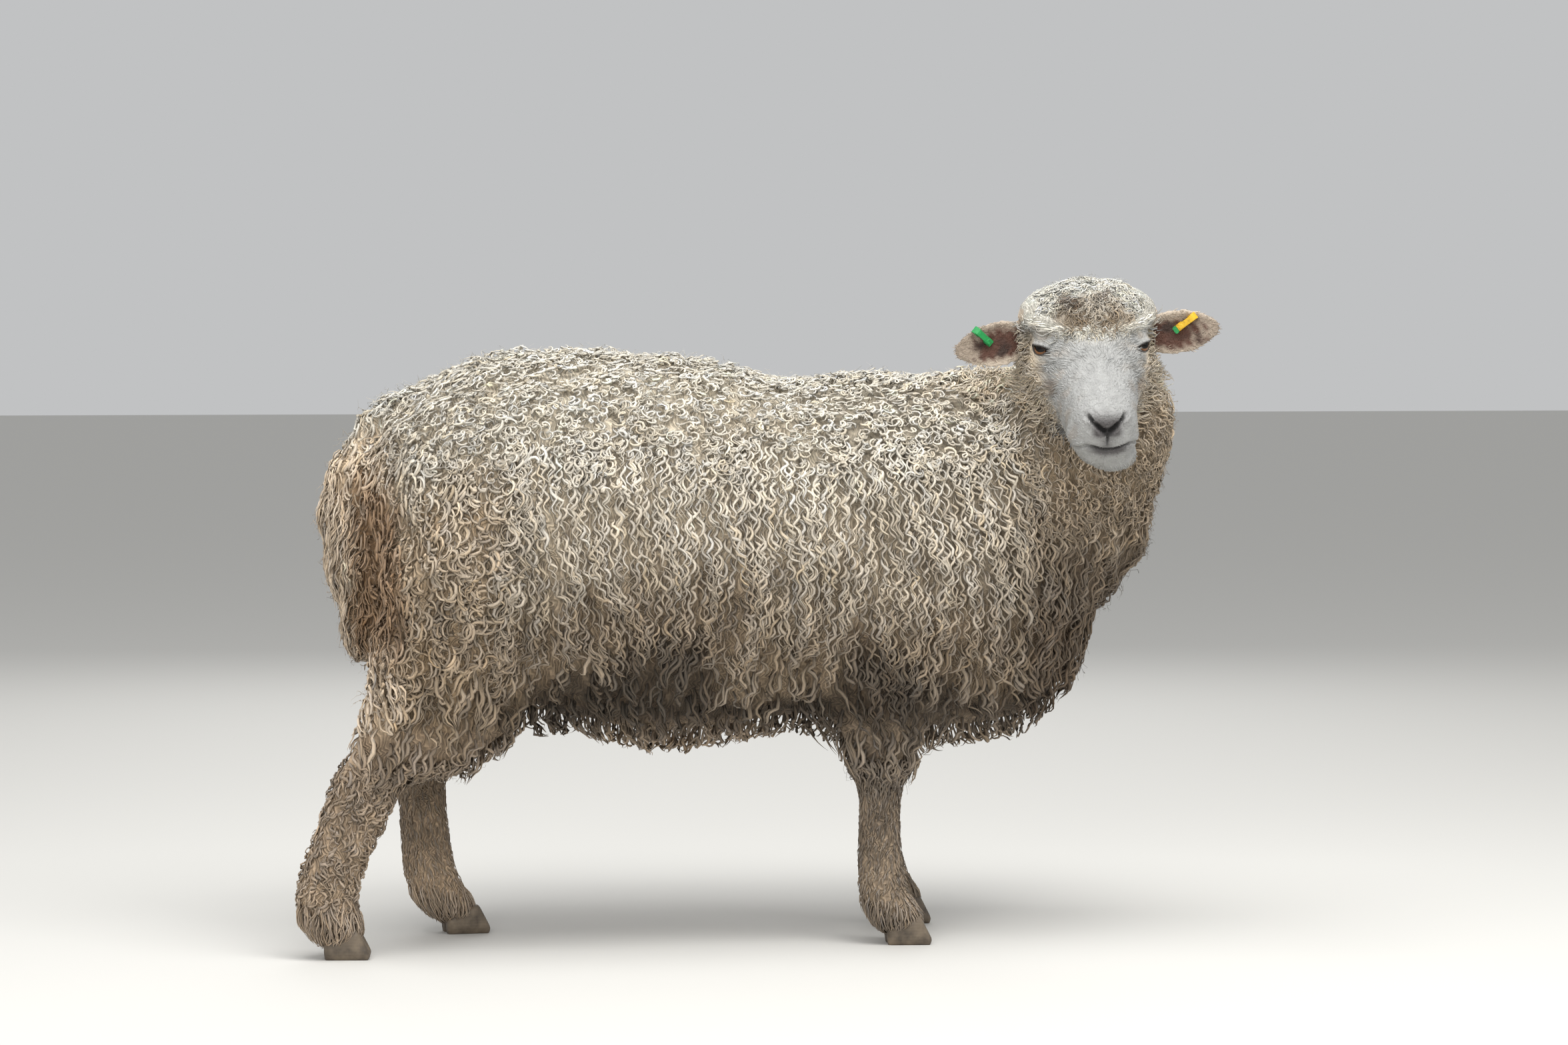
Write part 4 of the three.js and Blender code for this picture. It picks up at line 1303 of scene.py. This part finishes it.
# %% Growing one kind of lock
def grow(
    name, chosen, kind, gap, length, width, rings, wave, swing, bulge, stray, staple=None, gather=0.4,
    depth=0.010, layer=0.007, hang=0.0, slot="fleece", lift=0.0, darken=0.30, thin=0.2, loop=0.3,
    jitter=0.3,
):
    """Locks of one kind at the chosen roots: sizes in metres, stray in radians."""
    index = np.flatnonzero(chosen)
    index = index[evenly(root_points[index], gap)]
    roots, normals = root_points[index], root_normals[index]
    count = len(index)
    lengths, hangs, rises = (
        np.broadcast_to(np.asarray(value, float), (len(root_points),))[index]
        for value in (length, hang, lift)
    )
    lengths = lengths * dice.uniform(0.75, 1.2, count)
    turn = stray * dice.normal(size=count) + 0.5 * stray * field(roots, 0.07, 31)
    turn = turn + 0.18 * field(roots, 0.25, 32)
    paths, outs = walk(roots, normals, lengths, rings, kind, turn, hangs)
    phase = dice.uniform(0, 2 * math.pi, count)
    hand = np.where(dice.rand(count) < 0.5, -1.0, 1.0)
    reach = np.linspace(0, 1, rings)[None]
    if staple:
        heads = evenly(roots, staple)
        nearest = tree_of(roots[heads])
        owner = heads[[nearest.find(root)[1] for root in roots]]
        pull = gather * reach[..., None] ** 1.4
        paths = paths * (1 - pull) + paths[owner] * pull
        phase = phase[owner] + jitter * dice.normal(size=count)
        hand = hand[owner]
        lengths = lengths[owner]
    ahead = unit(np.gradient(paths, axis=1))
    side = unit(np.cross(outs, ahead))
    angle = phase[:, None] + hand[:, None] * 2 * math.pi * reach * (lengths / wave)[:, None]
    strength = swing * dice.uniform(0.7, 1.25, count)[:, None] * smoothstep(-0.25, 0.3, reach)
    sunk = depth * (1 - smoothstep(0, 0.3, reach)) + layer * dice.rand(count)[:, None] + 0.5 * width
    sunk = sunk + bulge * swing - rises[:, None] * reach
    paths = (
        paths
        + side * (strength * np.cos(angle))[..., None]
        + ahead * (loop * strength * np.sin(angle))[..., None]
        + outs * (bulge * strength * np.sin(angle + 0.9) - sunk)[..., None]
    )
    paths[:, :, 2] = np.maximum(paths[:, :, 2], 0.004)
    taper = (0.55 + 0.45 * smoothstep(0, 0.25, reach)) * (1 - (1 - thin) * smoothstep(0.55, 1.0, reach))
    widths = width * dice.uniform(0.7, 1.25, count)[:, None] * taper
    tone = dirtied(markings(roots), roots)
    # each lock's own random tone, times painted shade that darkens it towards the root
    shade = (1 + 0.13 * dice.normal(size=count))[:, None] * (1 - darken * (1 - smoothstep(0, 0.55, reach)))
    warm = 1 + 0.05 * dice.normal(size=(count, 1)) * np.array([[-0.4, 0.1, 1.0]])
    tones = np.clip((tone * warm)[:, None] * shade[..., None], 0, 1)
    coat_pieces(name, paths, outs, widths, tones, roots, wool_finish)


print("ready to grow locks")

# %% Parts of the coat
part = root_parts
rx, _, rz = root_body.T
ahead, left, above = root_local.T
rough_z = rz + 0.02 * field(root_points, 0.12, 41) + dice.normal(0, 0.012, len(rz))
up = root_normals[:, 2]
is_trunk = np.isin(part, ["trunk", *QUARTERS])
under = is_trunk & ((up < -0.45) | (rough_z < 0.385)) & (rz > 0.26)
rear = is_trunk & ~under & (rx + dice.normal(0, 0.01, len(rx)) < -0.40) & (rough_z < 0.70)
top = is_trunk & ~under & ~rear & (rough_z > 0.70)
sides = is_trunk & ~under & ~rear & ~top
tail_top = (part == "tail") & (rough_z > 0.645)
rear |= tail_top
brisket = (is_trunk | (part == "neck")) & (rx > 0.30) & (rough_z < 0.60) & (rz > 0.30) & ~under
around_neck = (part == "neck") | ((part == "head") & (ahead <= -0.055))
wool_head = wool_on_head(root_local) + dice.normal(0, 0.12, len(root_points)) > 0.5
cheeks = (part == "head") & wool_head & (above < 0.03) & (ahead > -0.06)
brow_line = 0.040 - 0.20 * np.abs(left) + dice.normal(0, 0.004, len(root_points))
forelock = above + 0.15 * ahead > brow_line
knot = np.isin(part, ["topknot", "head"]) & forelock | (part == "topknot") & (ahead < -0.02)
knot &= ~cheeks
clear_of_eyes = from_eye(root_local) > 0.026
knot &= clear_of_eyes
cheeks &= clear_of_eyes
legs = np.isin(part, LEGS) | (is_trunk & (rz <= 0.26))
areas = dict(top=top, sides=sides, rear=rear, under=under, neck=around_neck, legs=legs)
print("areas:", {name: round(mask.mean(), 3) for name, mask in areas.items()})

# %% Back, flanks and rear
CURLY = dict(kind="body", rings=11, layer=0.004, depth=0.008)
grow(
    "fleece_back", top, gap=0.0104, length=0.020, width=0.0042, wave=0.0120, swing=0.0050,
    bulge=0.35, stray=0.9, lift=0.004, loop=0.95, darken=0.10, **CURLY,
)
grow(
    "fleece_sides", sides & ~brisket, gap=0.0111, length=0.042, width=0.0043, wave=0.0250,
    swing=0.0038, bulge=0.35, stray=0.14, staple=0.016, gather=0.25, loop=0.4, darken=0.12, **CURLY,
)
grow(
    "fleece_rear", rear, gap=0.0112, length=0.037, width=0.0046, wave=0.0250, swing=0.0064,
    bulge=0.45, stray=0.35, staple=0.020, gather=0.3, loop=0.8, darken=0.12, **CURLY,
)
print("coat so far:", sum(coat.values()), "triangles")

# %% Belly, brisket and tail, where locks hang
grow(
    "fleece_belly", under, "body", gap=0.0175, length=0.050, width=0.0056, rings=9, wave=0.030,
    swing=0.0036, bulge=0.6, stray=0.22, staple=0.042, gather=0.8,
    hang=np.where(up < -0.2, 0.8, 0.3), darken=0.25, depth=0.011, thin=0.1,
)
grow(
    "fleece_brisket", brisket, "body", gap=0.0112, length=0.056, width=0.0050, rings=10, wave=0.030,
    swing=0.0038, bulge=0.5, stray=0.22, staple=0.030, gather=0.7, hang=0.22, darken=0.2, thin=0.1,
)
grow(
    "fleece_tail", (part == "tail") & ~tail_top, "tail", gap=0.0080, length=0.050, width=0.0034,
    rings=9, wave=0.024, swing=0.0030, bulge=0.5, stray=0.25, staple=0.018, gather=0.55,
    hang=0.25, depth=0.007, layer=0.003, lift=0.005, darken=0.12,
)
print("coat so far:", sum(coat.values()), "triangles")

# %% Neck, cheeks and topknot
near_head = 1 - smoothstep(0.20, 0.42, span(root_local))
jowl = smoothstep(0.09, -0.02, ahead)
MATTED = dict(rings=7, swing=0.0028, bulge=0.7, depth=0.004, jitter=0.7, darken=0.05, loop=0.6)
WISPY = dict(kind="body", bulge=0.8, layer=0.0, darken=0.0)
grow(
    "fleece_neck", around_neck & ~brisket, "neck", gap=0.0074, length=0.026 - 0.004 * near_head,
    width=0.0030, wave=0.018, stray=0.6, staple=0.020, gather=0.3, layer=0.003, lift=0.002, **MATTED,
)
grow(
    "cheek_wool", cheeks, "cheek", gap=0.0048, length=0.014 + 0.021 * jowl, width=0.0024, wave=0.017,
    stray=0.5, staple=0.014, gather=0.5, layer=0.002, lift=0.007 + 0.011 * jowl, **MATTED,
)
grow(
    "topknot_wool", knot, "knot", gap=0.0035, length=0.016, width=0.0019, rings=8, wave=0.0105,
    swing=0.0026, bulge=0.3, stray=0.7, staple=0.014, gather=0.35, depth=0.0015, layer=0.0015,
    darken=0.0, jitter=0.7, loop=0.8,
)
grow(
    "head_wisps", knot | cheeks | (around_neck & (near_head > 0.1)), gap=0.0190, length=0.020,
    width=0.0006, rings=7, wave=0.010, swing=0.0034, stray=1.5, depth=0.003, lift=0.007, loop=0.9,
    **WISPY,
)
print("coat so far:", sum(coat.values()), "triangles")

# %% Legs
woolly = legs & ((part == "hindleg_right") | (rz > 0.235))
SHORT = dict(
    kind="tail", slot="leg_hair", gap=0.0058, width=0.0028, wave=0.030, bulge=0.5, depth=0.003,
    layer=0.001,
)
grow(
    "leg_wool", woolly, "tail", gap=0.0082, length=0.024, width=0.0044, rings=7, wave=0.018,
    swing=0.0040, bulge=0.6, stray=0.6, depth=0.005, layer=0.003, slot="leg_hair", staple=0.020,
    gather=0.6, darken=0.10,
)
grow("leg_hair", legs & ~woolly, length=0.015, rings=3, swing=0.0008, stray=0.25, darken=0.08, **SHORT)
grow(
    "pastern_hair", legs & (rz < 0.075), length=0.040, rings=5, swing=0.0018, stray=0.45,
    staple=0.012, hang=0.5, lift=0.007, darken=0.05, **SHORT,
)
print("coat so far:", sum(coat.values()), "triangles")

# %% Wisps that have worked loose
WISPY |= dict(depth=0.004, loop=0.7, length=0.026)
flyaway = (top | (around_neck & (near_head <= 0.1)) | sides) & (dice.rand(len(rz)) < 0.6)
grow(
    "wisps", flyaway, gap=0.032, width=0.0008, rings=6, wave=0.016, swing=0.0040, stray=1.3,
    lift=0.010, **WISPY,
)
grow(
    "rump_wisps", rear | (part == "tail") | (top & (rx < -0.40)), gap=0.0230, width=0.0007, rings=7,
    wave=0.014, swing=0.0036, stray=1.2, lift=0.012, **WISPY,
)
print("coat so far:", sum(coat.values()), "triangles")

# %% [markdown]
# ## Short hair
# The face and ears have hair of 5 to 10 mm that lies nearly flat. It is planted on the
# skin itself, one small bent spike for each tuft. On the face it runs back and outward
# from the nose, and on the ears it runs to their tips.

# %% Planting hair
TAPER = np.array([0.9, 1.0, 0.15])  # a hair's width at its root, middle and tip
TIP_TONE = np.array([0.86, 1.0, 1.06])
hair_finish, shader, start = finish("short_hair", 0.8, Specular_IOR_Level=0.2, Sheen_Weight=0.08)
paint(shader, start, kept(start, "tone", 0))
middles = in_head(skin_points[skin_triangles].mean(1))
head_triangles = skin_triangles[span(middles) < 0.25]
mark_tree = tree_of(skin_points)


def face_tone(roots):
    """The skin's own colour at the nearest point, a little whiter."""
    nearest = [skin_triangles[skin_tree.find_nearest(Vector(root))[2]][0] for root in roots]
    speckle = 1 + skin_marks["dark_hair_and_shade"][nearest] * dice.uniform(-0.7, 1.4, len(roots))
    return np.clip(skin_tone[nearest] * 1.1 * speckle[:, None], 0, 1)


def planted(name, roots, normals, lengths, gap, width, raise_by, stray):
    """Short spikes on the head: sizes in metres, raise_by is the tip's height over length."""
    index = evenly(roots, gap)
    roots, normals, lengths = roots[index], normals[index], lengths[index]
    _, y, z = in_head(roots).T
    count = len(index)
    side = np.abs(y)
    away = np.sign(y)
    jaw = smoothstep(-0.055, -0.075, z)
    outward, down = away * (0.25 + 0.7 * side / 0.06), -0.3 * side / 0.06 - 0.9 * jaw
    way = np.stack([-1.0 + 0.5 * jaw, outward, down], 1)
    ear_way = np.stack([np.full(count, 0.15), away, np.full(count, 0.05)], 1)
    way = mix(way, ear_way, smoothstep(0.080, 0.092, side)) @ HEAD_AXES.T
    way = unit(way - (way * normals).sum(1)[:, None] * normals)
    way = turned(way, normals, stray * dice.normal(size=count) + 0.35 * field(roots, 0.03, 51))
    reach = np.linspace(0, 1, len(TAPER))[None, :, None]
    sizes = (lengths * dice.uniform(0.7, 1.25, count))[:, None, None]
    rise = raise_by * dice.uniform(0.5, 1.6, count)[:, None, None]
    height = sizes * rise * reach * (1.25 - 0.6 * reach) - 0.0006
    paths = roots[:, None] + way[:, None] * sizes * reach + normals[:, None] * height
    outs = np.broadcast_to(normals[:, None], paths.shape)
    widths = width * dice.uniform(0.7, 1.3, count)[:, None] * TAPER
    tone = face_tone(roots)
    shade = (1 + 0.10 * dice.normal(size=count))[:, None, None] * TIP_TONE[None, :, None]
    tones = np.clip(tone[:, None] * shade, 0, 1)
    coat_pieces(name, paths, outs, widths, tones, roots, hair_finish)


print(len(head_triangles), "triangles of the head to plant on")

# %% Hair on the face
FACE_ROOTS, EAR_ROOTS = 110000, 40000


def bare(roots):
    """Nose pad, lips' slit, nostrils and lid rims grow no hair."""
    nearest = [mark_tree.find(root)[1] for root in roots]
    return skin_marks["bare"][nearest] + skin_marks["dark"][nearest] > 0.5


def face_length(local):
    """Longer on the cheeks, crown and chin, short on the nose and close to the eyes."""
    x, y, z = local.T
    fine = smoothstep(0.13, 0.02, x)
    cheek = smoothstep(0.035, 0.060, np.abs(y)) * smoothstep(0.11, 0.04, x)
    chin = smoothstep(-0.075, -0.09, z)
    free = 0.0022 + 0.9 * np.maximum(from_eye(local) - 0.0170, 0)
    nose = smoothstep(0.045, 0.02, span(local - (0.170, 0, -0.028)))
    short = 1 - 0.45 * smoothstep(0.020, 0.045, z)
    crown = smoothstep(0.01, 0.04, z)
    full = 0.0050 + 0.0065 * fine + 0.002 * crown + 0.006 * cheek + 0.004 * chin
    return np.minimum(free, short * (1 - 0.40 * nose) * full)


roots, normals = strewn(skin_points, skin_normals, head_triangles, FACE_ROOTS)
local = in_head(roots)
x, y, z = local.T
side = np.abs(y)
keep = (side < 0.083) & (x > -0.05) & (z > -0.13)
keep &= z + 0.15 * x + 0.20 * side < 0.050 + dice.normal(0, 0.004, len(local))
keep &= np.isin(parts_at(roots), ["head", "topknot"])
keep[keep] = ~bare(roots[keep])
planted(
    "face_hair", roots[keep], normals[keep], face_length(local[keep]), gap=0.0025, width=0.0013,
    raise_by=0.17, stray=0.22,
)

# %% Hair on the ears
EAR_HAIR = 0.0065
roots, normals = strewn(skin_points, skin_normals, head_triangles, EAR_ROOTS)
mine, _, deep = on_ear(in_head(roots), normals @ HEAD_AXES)
keep = mine & (dice.rand(len(roots)) > 0.75 * deep)
planted(
    "ear_hair", roots[keep], normals[keep], np.full(sum(keep), EAR_HAIR), gap=0.0028, width=0.0010,
    raise_by=0.22, stray=0.3,
)

# %% [markdown]
# ## Floor, and what stands for what
# A pale floor catches the shadow and isn't part of the sheep. Every solid has to be stood
# for by a visible piece: the skin takes the place of all the solids of flesh at once.

# %% Floor
FLOOR_HALF = 40
floor_form = bmesh.new()
bmesh.ops.create_grid(floor_form, x_segments=1, y_segments=1, size=FLOOR_HALF)
floor_mesh = mesh_from(floor_form, "floor")
floor = add_piece("floor", floor_mesh)
floor_finish, floor_shader, _ = finish("pale_floor", 0.9)
floor_shader.inputs["Base Color"].default_value = (0.62, 0.61, 0.58, 1)
floor_mesh.materials.append(floor_finish)
print("floor", 2 * FLOOR_HALF, "m square")

# %% The skin stands in for the solids of flesh
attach(skin, "root")
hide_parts(*BODY_NODES, *HEAD_NODES)
bpy.data.objects.remove(fleece_form)

# %% Sizes and the end
print("coat:", sum(coat.values()), "triangles")
